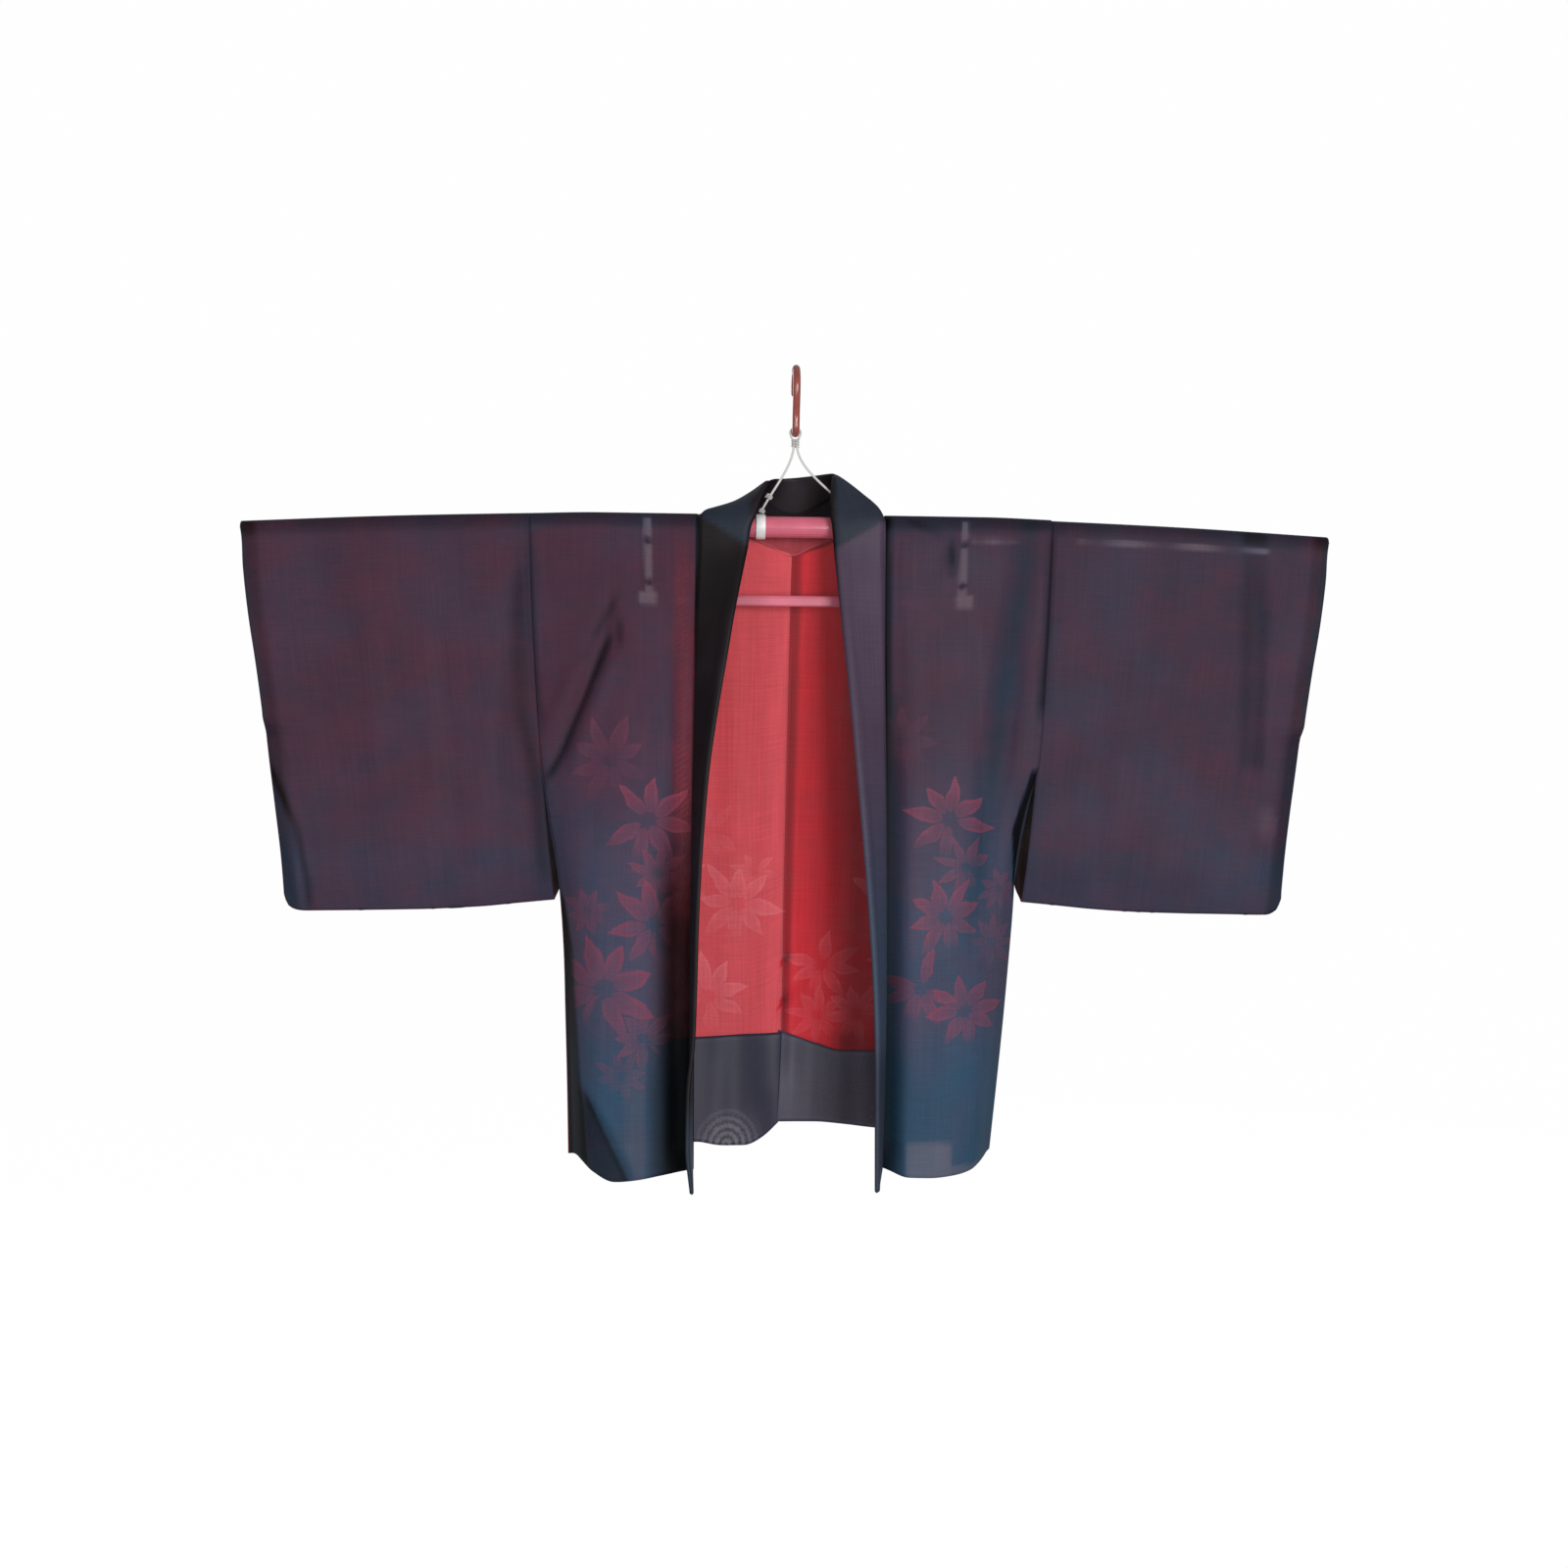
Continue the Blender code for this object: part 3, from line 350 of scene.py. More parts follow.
# Painted shade along deep folds and seams: strength, width, and the points of the line
FRONT_PAINTED_SHADE = [
    (0.78, 0.0050, [(-0.212, -0.128), (-0.241, -0.202), (-0.270, -0.273), (-0.291, -0.310)]),
    (0.40, 0.0045, [(-0.206, -0.085), (-0.238, -0.142)]),
    (0.45, 0.0045, [(-0.204, -0.108), (-0.203, -0.152)]),
    (0.65, 0.0045, [(0.1895, -0.010), (0.1905, -0.055)]),
    (0.25, 0.0045, [(0.132, 0.010), (0.186, -0.012)]),
    (0.55, 0.0050, [(-0.618, -0.282), (-0.584, -0.360), (-0.569, -0.429), (-0.566, -0.465)]),
    (0.45, 0.0100, [(-0.325, -0.040), (-0.319, -0.230), (-0.302, -0.300), (-0.290, -0.440)]),
    (0.60, 0.0045, [(0.3124, 0.000), (0.3070, -0.120), (0.2990, -0.225)]),
    (0.35, 0.0045, [(-0.312, 0.000), (-0.307, -0.120), (-0.297, -0.240)]),
    (0.35, 0.0060, [(-0.240, -0.665), (-0.210, -0.715), (-0.184, -0.775)]),
]
# painted shade on the inner face of the back, along its folds and the hem's curve
BACK_PAINTED_SHADE = [
    (0.35, 0.0050, [(-0.006, -0.530), (0.012, -0.511)]),
    (0.40, 0.0050, [(-0.008, -0.581), (0.008, -0.565)]),
    (0.45, 0.0140, [(0.040, -0.622), (0.100, -0.626)]),
]
# Leaf sprays: layer, place, radius, lean in degrees, strength
LEAVES = {
    "front": [
        (-214, -281, 53, 20, 30), (-169, -351, 61, -12, 90), (-157, -413, 36, 30, 62), (-161, -472, 60, 8, 92),
        (-238, -458, 32, 65, 55), (-218, -548, 72, -25, 95), (-172, -604, 42, 40, 60), (-196, -648, 34, -30, 30),
        (133, -255, 44, 0, 22), (185, -348, 58, -8, 92), (205, -404, 38, 25, 60), (180, -462, 52, 15, 90),
        (246, -430, 30, 60, 45), (152, -546, 50, -20, 82), (203, -572, 52, 12, 90), (238, -492, 36, -50, 45),
    ],
    "back": [
        (-60, -455, 58, -5, 92), (-40, -415, 30, 35, 60), (-96, -568, 56, 14, 85), (-94, -366, 40, -35, 35),
        (44, -530, 50, -15, 60), (40, -592, 42, 38, 45), (-148, -432, 62, 24, 90), (-150, -545, 48, -30, 80),
        (-205, -500, 50, -14, 85), (-192, -388, 40, 48, 50), (-178, -620, 46, 10, 60), (132, -452, 58, 18, 92),
        (88, -590, 46, -34, 60), (150, -400, 52, -20, 85), (156, -520, 58, 6, 90), (206, -452, 42, 42, 55),
        (172, -622, 40, -12, 55),
    ],
}

# How a face of the silk takes the light
DARK_FACE = {"Roughness": 0.60, "Sheen_Weight": 0.10, "Sheen_Roughness": 0.35, "Specular_IOR_Level": 0.14,
             "Sheen_Tint": hexed("#9fb4d6"), "IOR": 1.45}
RED_FACE = {"Roughness": 0.50, "Sheen_Weight": 0.05, "Sheen_Roughness": 0.35, "Specular_IOR_Level": 0.12,
            "Sheen_Tint": hexed("#ffb0a8"), "IOR": 1.45}
LEAF_LAYERS = ("leaf_a", "leaf_b")   # the two nearest leaves of each place
FAR_LEAF = 1e3                       # a leaf of the other layer of cloth is never the nearest
LEAF_REACH = 1.25                    # a spray ends at this many of its radii
NO_LEAF = (9, 9, 0)                  # a place outside every spray

# ---- studio
BOWL = [(0.0, 0.0), (3.4, 0.0), (4.4, 0.15), (5.1, 0.75), (5.4, 1.8), (5.3, 3.4), (4.2, 5.2), (2.2, 6.2),
        (0.0, 6.4)]          # radius and height above the floor
LAMPS = [
    # name, place from the middle of the jacket, diameter
    ("key", (1.80, -5.00, 0.05), 2.2),
    ("fill", (-2.6, -4.6, -0.5), 2.4),
    ("back", (-1.6, 2.5, 0.9), 1.6),
]
LIT_MIDDLE = (0, 0, -0.5)    # what the lamps point at
CAMERA_TARGET = (-0.0103, 0, -0.4925)
CAMERA_DISTANCE = 2.3
CAMERA_LENS = 44.1           # mm, on a sensor 36 mm wide
CAMERA_YAW = -3.0477         # degrees
CAMERA_ROLL = 0.468          # degrees


# ---- curves
def cubic(t, step, low, high, slope_low, slope_high):
    """Value part of the way along a smooth curve, from its values and slopes at both ends."""
    return ((2 * t**3 - 3 * t**2 + 1) * low + (t**3 - 2 * t**2 + t) * step * slope_low
            + (3 * t**2 - 2 * t**3) * high + (t**3 - t**2) * step * slope_high)


def read(table, column, at):
    """Read a column of a table at a value of its first column, on a smooth curve through the rows."""
    rows = sorted(table)
    keys = np.array([row[0] for row in rows])
    values = np.array([row[column] for row in rows])
    rises = np.diff(values) / np.diff(keys)
    slopes = np.concatenate([rises[:1], (rises[:-1] + rises[1:]) / 2, rises[-1:]])
    limit = 2 * np.minimum(np.abs(rises[:-1]), np.abs(rises[1:]))
    limit[rises[:-1] * rises[1:] <= 0] = 0
    slopes[1:-1] = np.clip(slopes[1:-1], -limit, limit)
    at = min(max(at, keys[0]), keys[-1])
    low = min(int(np.searchsorted(keys, at, side="right")) - 1, len(keys) - 2)
    step = keys[low + 1] - keys[low]
    return cubic((at - keys[low]) / step, step, *values[low:low + 2], *slopes[low:low + 2])


def through(keys, values, at):
    """Values on a smooth curve through the given ones, without overshoot, at new places along it."""
    steps = np.diff(keys)
    rises = np.diff(values, axis=0) / steps[:, None]
    before, after = steps[:-1, None], steps[1:, None]
    inner = (rises[:-1] * after + rises[1:] * before) / (before + after)
    limit = 2.5 * np.minimum(np.abs(rises[:-1]), np.abs(rises[1:]))
    limit[rises[:-1] * rises[1:] <= 0] = 0
    slopes = np.vstack([rises[:1], np.clip(inner, -limit, limit), rises[-1:]])
    low = np.clip(np.searchsorted(keys, at, side="right") - 1, 0, len(keys) - 2)
    step = steps[low][:, None]
    return cubic((at - keys[low])[:, None] / step, step, values[low], values[low + 1], slopes[low], slopes[low + 1])


def passed(points):
    """Length passed along a run of points, at each of them."""
    return np.concatenate([[0], np.cumsum(np.linalg.norm(np.diff(points, axis=0), axis=1))])


def along_curve(points, fraction):
    """A point at a fraction of the length of a smooth curve through a few points."""
    points = [Vector(point) for point in points]
    ends = [2 * points[0] - points[1]] + points + [2 * points[-1] - points[-2]]
    dense = []
    for before, start, end, after in zip(ends, ends[1:], ends[2:], ends[3:]):
        for step in range(12):
            t = step / 12
            dense.append(0.5 * (
                2 * start + (end - before) * t
                + (2 * before - 5 * start + 4 * end - after) * t**2
                + (3 * start - before - 3 * end + after) * t**3
            ))
    dense.append(points[-1])
    lengths = np.cumsum([0] + [(b - a).length for a, b in zip(dense, dense[1:])])
    return Vector([float(np.interp(fraction * lengths[-1], lengths, [p[axis] for p in dense]))
                   for axis in range(len(points[0]))])


def turns(count):
    """Angles of so many even steps round a circle."""
    return [2 * math.pi * n / count for n in range(count)]


# ---- the jacket's form: inner surfaces about the middle of the jacket and the bar's axis
def at_bar(x, y, z):
    """World point from one given about the middle of the jacket and the bar's axis."""
    return Vector((x - CORD_X, y, z + BAR_HEIGHT))


def mirrored(side, point):
    """World point of one side, from a point given for the left side."""
    return at_bar(SIGN[side] * point[0], point[1], point[2])


def arm_axis(reach):
    """Height of the bar's or arm's axis at a distance from the middle."""
    return read(TOP_LINE, 2, reach)


def fold_radius(reach):
    """Distance of the cloth from that axis, where it folds over."""
    return read(TOP_LINE, 1, reach) - arm_axis(reach)


def front_point(side, height, across):
    """Inner surface of a front panel, mirrored by the caller."""
    row = [read(FRONT[side], column, height) for column in range(1, 9)]
    x, y = along_curve(list(zip(row[0::2], row[1::2])), across)
    return x, y


def front_reach(side, heights):
    """Distance of a front panel's side edge from the middle, at each height."""
    rows = np.array(sorted(FRONT[side]))
    return np.interp(heights, rows[:, 0], rows[:, 7])


def back_depth(side, height, x):
    """Y of a back panel's inner surface at a distance from the middle."""
    low = min(height, 0)
    spine = (SIGN[side] * read(SPINE, 1, low), read(SPINE, 2, low))
    blade = (read(BACK[side], 1, low), read(BACK[side], 2, low))
    gusset = (read(BACK[side], 3, low), read(BACK[side], 4, low))
    return read([spine, blade, gusset], 1, x)


def back_inner_edge(side, height):
    """Inner edge of a back panel: the neckline, then the centre back seam."""
    if height > NECK_FOOT:
        return read(NECKLINE[side], 1, height)
    return SIGN[side] * read(SPINE, 1, height) + SEAM_GAP / 2


def body_point(side, station, across):
    """Inner surface of a body panel at a station of its length, about the bar's axis."""
    stretch, step = station
    if stretch == "front":
        hem = read(FRONT_HEM[side], 1, across)
        top_x, _ = front_point(side, 0, across)
        height = hem + (arm_axis(top_x) - hem) * step
        x, y = front_point(side, height, across)
        return Vector((x, y, height))
    if stretch == "arc":
        front_x, front_y = front_point(side, 0, across)
        angle = math.radians(step)
        rise = fold_radius(front_x) * math.sin(angle)
        height = arm_axis(front_x) + rise
        if step <= 90:
            return Vector((front_x, front_y * math.cos(angle), height))
        inner = read(NECKLINE[side], 1, height * FOLD_TOP / (FOLD_TOP - CLOTH))
        outer = read(BACK[side], 3, 0)
        x = inner + (outer - inner) * across
        bulge = (1 - math.sin(angle)) * back_depth(side, 0, x) + math.sin(angle) * fold_radius(x)
        return Vector((x, -bulge * math.cos(angle), height))
    if stretch == "neck":
        height = step
    else:
        hem = read(BACK_HEM[side], 1, across)
        height = NECK_FOOT + (hem - NECK_FOOT) * step
    inner = back_inner_edge(side, height)
    outer = read(BACK[side], 3, height)
    x = inner + (outer - inner) * across
    return Vector((x, back_depth(side, height, x), height))


def gusset_point(side, step, across):
    """Inner surface of a gusset, bowed out a little between front and back."""
    front_hem = FRONT_HEM[side][-1][1]
    back_hem = BACK_HEM[side][-1][1]
    hem = front_hem + (back_hem - front_hem) * across
    height = ARMHOLE_END + (hem - ARMHOLE_END) * step
    front = Vector(front_point(side, height, 1))
    back = Vector((read(BACK[side], 3, height), read(BACK[side], 4, height)))
    span = back - front
    way = span.normalized()
    start = front + way * CORNER_GAP
    end = back - way * CORNER_GAP
    outward = Vector((way.y, -way.x))
    bow = GUSSET_BOW * span.length * math.sin(math.pi * across)
    spot = start.lerp(end, across) + outward * bow
    return Vector((spot.x, spot.y, height))


def facing_point(side, step, across):
    """Inner surface of the hem's facing, just inside the back panel."""
    hem = read(BACK_HEM[side], 1, across)
    height = hem + (read(FACING_TOP[side], 1, across) - hem) * step
    inner = back_inner_edge(side, height) + SEAM_GAP
    x = inner + (read(BACK[side], 3, height) + SEAM_GAP - inner) * across
    return Vector((x, back_depth(side, height, x) - FACING_GAP, height))


def sleeve_inner_edge(side, height):
    """Distance from the middle of the sleeve's inner edge: the armhole seam, then the free edge."""
    edge = read(SLEEVE, 1, height)
    if height > ARMHOLE_END:
        edge = max(edge, front_point(side, height, 1)[0])
    return edge + CORNER_GAP


def smooth_step(t):
    """Rise from 0 to 1, steep at first and level at the end."""
    t = min(max(t, 0), 1)
    return math.sin(t * math.pi / 2)


def sleeve_depth(height, across, open_share):
    """Half the space between the plies of a sleeve."""
    at_armhole = read(SLEEVE, 3, height)
    at_cuff = read(SLEEVE, 4, height)
    return (at_armhole + (at_cuff - at_armhole) * across) * smooth_step(open_share)


def sleeve_point(side, station, across):
    """Inner surface of a sleeve at a station of its length."""
    stretch, step = station
    hem = read(SLEEVE_HEM, 1, across)
    width = SLEEVE[-1][2] - SLEEVE[-1][1]
    from_edge = (1 - across) * width
    if from_edge < SLEEVE_CORNER:
        short = SLEEVE_CORNER - from_edge
        hem += SLEEVE_CORNER - math.sqrt(SLEEVE_CORNER**2 - short**2)
    top_reach = SLEEVE[0][1] + (SLEEVE[0][2] - SLEEVE[0][1]) * across
    axis = arm_axis(top_reach)
    if stretch == "arc":
        angle = math.radians(step)
        inner = sleeve_inner_edge(side, 0)
        x = inner + (read(SLEEVE, 2, 0) - inner) * across
        depth = sleeve_depth(0, across, 1)
        return Vector((x, -depth * math.cos(angle), axis + fold_radius(top_reach) * math.sin(angle)))
    height = hem + (axis - hem) * step
    inner = sleeve_inner_edge(side, height)
    if stretch == "back" and height < ARMHOLE_END:
        # in full from 50 mm below the armhole down to 30 mm above the hem
        inner -= BACK_PLY_LEAD * min(1, (ARMHOLE_END - height) / 0.05, (height - hem) / 0.03)
    outer = read(SLEEVE, 2, height)
    x = inner + (outer - inner) * across
    depth = sleeve_depth(height, across, min(1, (height - hem) / SEW_TAPER))
    if step < CUFF_FOOT:
        depth *= smooth_step((1 - across) * (outer - inner) / SEW_TAPER)
    return Vector((x, depth if stretch == "back" else -depth, height))


def collar_seam(side, station):
    """Point on the collar's seam, at the outer surface of the body panel's inner edge."""
    edge = body_point(side, station, 0)
    inside = body_point(side, station, 0.02)
    along = (inside - edge).normalized()
    stretch, step = station
    turn = {"front": 0, "arc": step, "neck": 180}[stretch]
    angle = math.radians(turn)
    if turn:
        outward = Vector((0, -math.cos(angle), math.sin(angle)))
    else:
        outward = Vector((along.y, -along.x, 0))
    leave = (-along).lerp(Vector((0, 0, 1)), turn / 180).normalized()
    return edge + outward * CLOTH + leave * (SEAM_GAP if turn < 90 else CORNER_GAP)


def collar_section(side, station):
    """Seam, fold and free edge of the collar at a station of the seam."""
    seam = collar_seam(side, station)
    if station in NECK_STEPS[:-1]:
        row = NECK_STATIONS[side][NECK_STEPS.index(station)]
        return seam, Vector(row[:3]), Vector(row[3:])
    if station == NECK_STEPS[-1]:
        row = NECK_CENTRE
        sign = SIGN[side]
        return seam, Vector((sign * row[0], *row[1:3])), Vector((sign * row[3], *row[4:]))
    lookup = [read(COLLAR_FOLD_LINE[side], column, seam.z) for column in (1, 2, 3)]
    fold = Vector((lookup[0], lookup[1], seam.z + lookup[2]))
    return seam, fold, None


def collar_profile(side, station):
    """Nine points across the collar: up the inner half, round the fold, down the outer half."""
    seam, fold, free = collar_section(side, station)
    reach = (fold - seam).normalized()
    outer = Vector((-reach.y, reach.x, 0)).normalized()
    if free is None:
        free = seam.lerp(fold, COLLAR_SHORT) + outer * 2 * COLLAR_FOLD
        free.z = seam.z + (fold.z - seam.z) * COLLAR_SHORT
    back = (free - fold).normalized()
    turned = (1 - reach.dot(back)) / 2
    far_side = fold + outer * 2 * COLLAR_FOLD * turned
    crown = (fold + far_side) / 2 + (reach - back) / 2 * COLLAR_FOLD * turned
    inner_half = [seam.lerp(fold, t) for t in (0, 0.33, 0.67, 1)]
    outer_half = [far_side.lerp(free, t) for t in (0, 0.33, 0.67, 1)]
    return inner_half + [crown] + outer_half


def collar_point(side, station, column):
    """A point of the collar's profile at a station of its seam."""
    return collar_profile(side, station)[column]


def stations(side, **stretches):
    """Rows of a grid: the side, and a stretch of its length with a step along it."""
    return [(side, (stretch, step)) for stretch, steps in stretches.items() for step in steps]


def fine_grid(point, rows, columns):
    """Points of a piece, filled in to an even spacing, with their places along it and across it.

    Each row is a side with a station on it, and point(side, station, column) places one point there.
    """
    coarse = np.array([[mirrored(side, point(side, station, column)) for column in columns]
                       for side, station in rows])
    gaps = [np.linalg.norm(np.diff(coarse, axis=axis), axis=2).mean(axis=1 - axis) for axis in (0, 1)]
    keys = [np.concatenate([[0], np.cumsum(gap)]) for gap in gaps]
    spacing = bpy.context.scene.haori_cloth.spacing
    along, across = [np.linspace(0, key[-1], round(key[-1] / spacing) + 1) for key in keys]
    tall = through(keys[0], coarse.reshape(len(rows), -1), along)
    tall = tall.reshape(len(along), len(columns), 3).transpose(1, 0, 2).reshape(len(columns), -1)
    grid = through(keys[1], tall, across).reshape(len(across), len(along), 3).transpose(1, 0, 2)
    return grid, (along, across)


# ---- folds, dye, and painted light and shade: masks over a grid of places
def eased(value):
    """Smooth step from 0 to 1."""
    value = np.clip(value, 0, 1)
    return value * value * (3 - 2 * value)


def past(value, start, soft):
    """0 up to a start, and 1 beyond the soft edge after it. The value is in metres, the rest in millimetres."""
    return eased((1000 * value - start) / soft)


def banded(value, low, high, soft):
    """1 between low and high, fading over a soft edge, all in millimetres."""
    return past(value, low - soft / 2, soft) * past(-value, -high - soft / 2, soft)


def bell(value, middle, reach):
    """A soft bump about a middle, in millimetres."""
    return np.exp(-(((1000 * value - middle) / reach) ** 2))


def edge_band(places, width, at_start=True, at_end=True):
    """1 within a turned edge, so many millimetres wide, at either end of a run of places."""
    start = past(-places, -width - 1.5, 3) * at_start
    end = past(places - places[-1], -width - 1.5, 3) * at_end
    return np.maximum(start, end)


def from_line(x, h, line):
    """Distance of each place from a run of points, and how far along it the nearest point is."""
    nearest = np.full(x.shape, 1e9)
    reached = np.zeros(x.shape)
    gone = 0.0
    for (x0, h0), (x1, h1) in zip(line, line[1:]):
        long = math.hypot(x1 - x0, h1 - h0)
        t = np.clip(((x - x0) * (x1 - x0) + (h - h0) * (h1 - h0)) / long**2, 0, 1)
        away = np.hypot(x - x0 - t * (x1 - x0), h - h0 - t * (h1 - h0))
        closer = away < nearest
        nearest = np.where(closer, away, nearest)
        reached = np.where(closer, gone + t * long, reached)
        gone += long
    return nearest, np.minimum(reached, gone - reached)


def creased(x, h, creases):
    """Sum of soft ridges and troughs: height, width and line of each."""
    total = np.zeros(x.shape)
    for rise, width, line in creases:
        away, from_end = from_line(x, h, line)
        total += rise * np.exp(-((away / width) ** 2)) * (0.15 + 0.85 * eased(from_end / (4 * width)))
    return total


def waved(x, h, waves):
    """Sum of long soft folds: height, spacing across, lean, wander and phase of each."""
    total = np.zeros(x.shape)
    for rise, spacing, lean, wander, phase in waves:
        total += rise * np.sin(2 * np.pi * (x + lean * h) / spacing + wander * np.sin(h * 11 + phase) + phase)
    return total


def jacket_places(grid):
    """Distance from the middle towards the left, and height above the bar's axis, of each point."""
    return grid[..., 0] + CORD_X, grid[..., 2] - BAR_HEIGHT


def fall(grid):
    """Hang the cloth: one field for the front layer and one for the back, so that seams stay shut."""
    x, h = jacket_places(grid)
    # the layers part within 9 mm of the bar's axis, and the folds grow from the bar downwards
    behind = past(grid[..., 1], -9, 18)
    slack = past(-h, 12, 160)
    tight = past(-h, -12, 30)
    front = slack * waved(x, h, FRONT_WAVES) + tight * creased(x, h, FRONT_CREASES)
    back = slack * waved(x, h, BACK_WAVES) + tight * creased(x, h, BACK_CREASES)
    hung = grid.copy()
    hung[..., 1] += back * behind - front * (1 - behind)
    return hung


def outward(grid, flip):
    """Unit normals of a grid of points."""
    way = np.cross(np.gradient(grid, axis=1), np.gradient(grid, axis=0))
    size = np.linalg.norm(way, axis=2, keepdims=True)
    return way / np.maximum(size, 1e-12) * (-1 if flip else 1)


def from_top(x, h):
    """Height of each place above the axis of the bar or arm that the cloth hangs over."""
    reach, _, axis = zip(*TOP_LINE)
    return h - np.interp(np.abs(x), reach, axis)


def dyed(slate, thick, pale=0.0):
    """Dye of each point: share of slate, extra thickness, and paleness from rubbing and painted light, or painted
    shade where negative.
    """
    return np.stack(np.broadcast_arrays(slate, thick, pale), axis=-1).astype(np.float32)


def straps_seen_through(side, x, h):
    """Where the white strap and its cap lie behind the front, for a painted paleness as if seen through it, and where
    the strap's dark studs do.
    """
    at = HANGER_MIDDLE + SIGN[side] * STRAP_OFFSET
    lean = STRAP_LEAN[side]

    def within(value, size):
        """1 inside so many metres about a middle, with an edge 3 mm soft."""
        return banded(value, -500 * size, 500 * size, 3)

    strap = within(x - at - lean * np.clip(h / CAP_MIDDLE, 0, 1), STRAP_WIDTH)
    strap = strap * banded(h, 1000 * CAP_MIDDLE, 8, 6)
    cap = within(x - cap_middle(side), CAP_LENGTH) * within(h - CAP_MIDDLE, CAP_HEIGHT)
    # pressed: the painted paleness over the strap and cap, cut out at each stud
    pressed, studs = np.maximum(strap, cap), 0
    for drop in SNAP_HEIGHTS.values():
        stud = bell(x - at - lean * drop / CAP_MIDDLE, 0, 4.2) * bell(h - drop, 0, 4.2)
        pressed = pressed * (1 - stud)
        studs = studs + stud
    return pressed, studs


# ---- pieces
def in_scene(name, data):
    """Put an object with this data in the scene, at the origin."""
    item = bpy.data.objects.new(name, data)
    bpy.context.scene.collection.objects.link(item)
    return item


def mesh_from(name, work):
    """Mesh data with smooth faces, in an order of their own, from a bmesh, which is used up."""
    data = bpy.data.meshes.new(name)
    work.verts.index_update()
    count = len(work.verts)

    def place(item):
        """A number for an edge or a face by its points, as the operators leave them in no fixed order."""
        numbers = [vert.index for vert in item.verts]
        return (min(numbers) * count + max(numbers)) * count * len(numbers) + sum(numbers)

    work.edges.sort(key=place)
    work.faces.sort(key=place)
    for face in work.faces:
        face.smooth = True
    work.to_mesh(data)
    work.free()
    return data


def thicken(piece, thickness, offset):
    """Give a sheet its wall: outwards, inwards or to both sides."""
    wall = piece.modifiers.new("wall", "SOLIDIFY")
    wall.thickness = thickness
    wall.offset = offset
    return wall


def seat(piece, slot, *nodes):
    """Let a piece ride on the frame's body, in place of its nodes there, which are hidden. The slot is not used."""
    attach(piece, "root")
    if nodes:
        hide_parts(*nodes)


def cloth_piece(name, grid, lengths, finishes, dye, inner_light_and_shade=None, flip=False, closed=False, leaves=False,
                lift=0.0005):
    """A sheet of cloth on a grid of points, with its weave's map, dye with painted light and shade, and leaves,
    thickened outwards.
    """
    along, across = lengths
    hung = fall(grid)
    raised = lift * (np.minimum(1, np.abs(hung[..., 1:2]) / 0.002) if closed else 1)
    hung = hung + outward(hung, flip) * raised
    tall, wide = grid.shape[:2]
    work = bmesh.new()
    bmesh.ops.create_grid(work, x_segments=wide - 1, y_segments=tall - 1, size=1)
    work.verts.ensure_lookup_table()
    for vert, spot in zip(work.verts, hung.reshape(-1, 3)):
        vert.co = spot
    if flip:
        bmesh.ops.reverse_faces(work, faces=work.faces)
    data = mesh_from(name, work)
    corner = np.empty(len(data.loops), np.int32)
    data.loops.foreach_get("vertex_index", corner)
    places = np.stack(np.meshgrid(across, along), axis=-1).reshape(-1, 2)
    data.uv_layers.new(name="cloth").uv.foreach_set("vector", places[corner].ravel())
    # the dye also carries painted light and painted shade in its third value
    data.attributes.new("dye", "FLOAT_VECTOR", "POINT").data.foreach_set("vector", dye.ravel())
    # painted light and painted shade of the inner face
    if inner_light_and_shade is not None:
        inner_light_and_shade = inner_light_and_shade.astype(np.float32).ravel()
        data.attributes.new("inner_light_and_shade", "FLOAT", "POINT").data.foreach_set("value", inner_light_and_shade)
    if leaves:
        for layer, spots in zip(LEAF_LAYERS, leaf_places(grid, corner)):
            data.attributes.new(layer, "FLOAT_VECTOR", "CORNER").data.foreach_set("vector", spots.ravel())
    if closed:
        work = bmesh.new()
        work.from_mesh(data)
        bmesh.ops.remove_doubles(work, verts=work.verts, dist=0.00005)
        work.to_mesh(data)
        work.free()
    for finish in finishes:
        data.materials.append(finish)
    piece = in_scene(name, data)
    thicken(piece, bpy.context.scene.haori_cloth.thickness, 1).material_offset = 1
    return piece


def leaf_places(grid, corner):
    """For each face corner, its place in the two nearest leaves: across, up, and strength plus number."""
    x, h = [part.ravel()[corner].reshape(-1, 4) for part in jacket_places(grid)]
    behind = grid[..., 1].ravel()[corner].reshape(-1, 4).mean(axis=1) > 0
    distances, spots = [], []
    for layer, rows in LEAVES.items():
        for x0, h0, radius, lean, strength in rows:
            dx, dh, turn = 1000 * x - x0, 1000 * h - h0, math.radians(lean)
            across = (dx * math.cos(turn) + dh * math.sin(turn)) / radius
            up = (dh * math.cos(turn) - dx * math.sin(turn)) / radius
            away = np.hypot(across, up).mean(axis=1)
            away[behind != (layer == "back")] = FAR_LEAF
            number = np.full(x.shape, len(spots) + strength / 100)
            distances.append(away)
            spots.append(np.stack([across, up, number], axis=-1))
    away, spots, faces = np.array(distances), np.array(spots), np.arange(len(x))
    chosen = []
    for rank in np.argsort(away, axis=0)[:2]:
        local = spots[rank, faces]
        local[away[rank, faces] > LEAF_REACH] = NO_LEAF
        chosen.append(local)
    return chosen


# ---- finishes
def wire(made, inputs):
    """Give the listed inputs of a node a value or a link. A node given as a value is its first output."""
    for socket, value in inputs.items() if isinstance(inputs, dict) else enumerate(inputs):
        if isinstance(value, bpy.types.Node):
            value = value.outputs[0]
        if isinstance(value, bpy.types.NodeSocket):
            made.id_data.links.new(value, made.inputs[socket])
        else:
            made.inputs[socket].default_value = value


def node(tree, kind, inputs=(), **settings):
    """Add a node with its settings and inputs. Its operation may follow its kind.

    A map range lists its value, the range it comes from and the range it goes to.
    """
    kind, _, operation = kind.partition(" ")
    made = tree.nodes.new("ShaderNode" + kind)
    if operation:
        made.operation = operation
    for name, value in settings.items():
        setattr(made, name, value)
    wire(made, inputs)
    return made


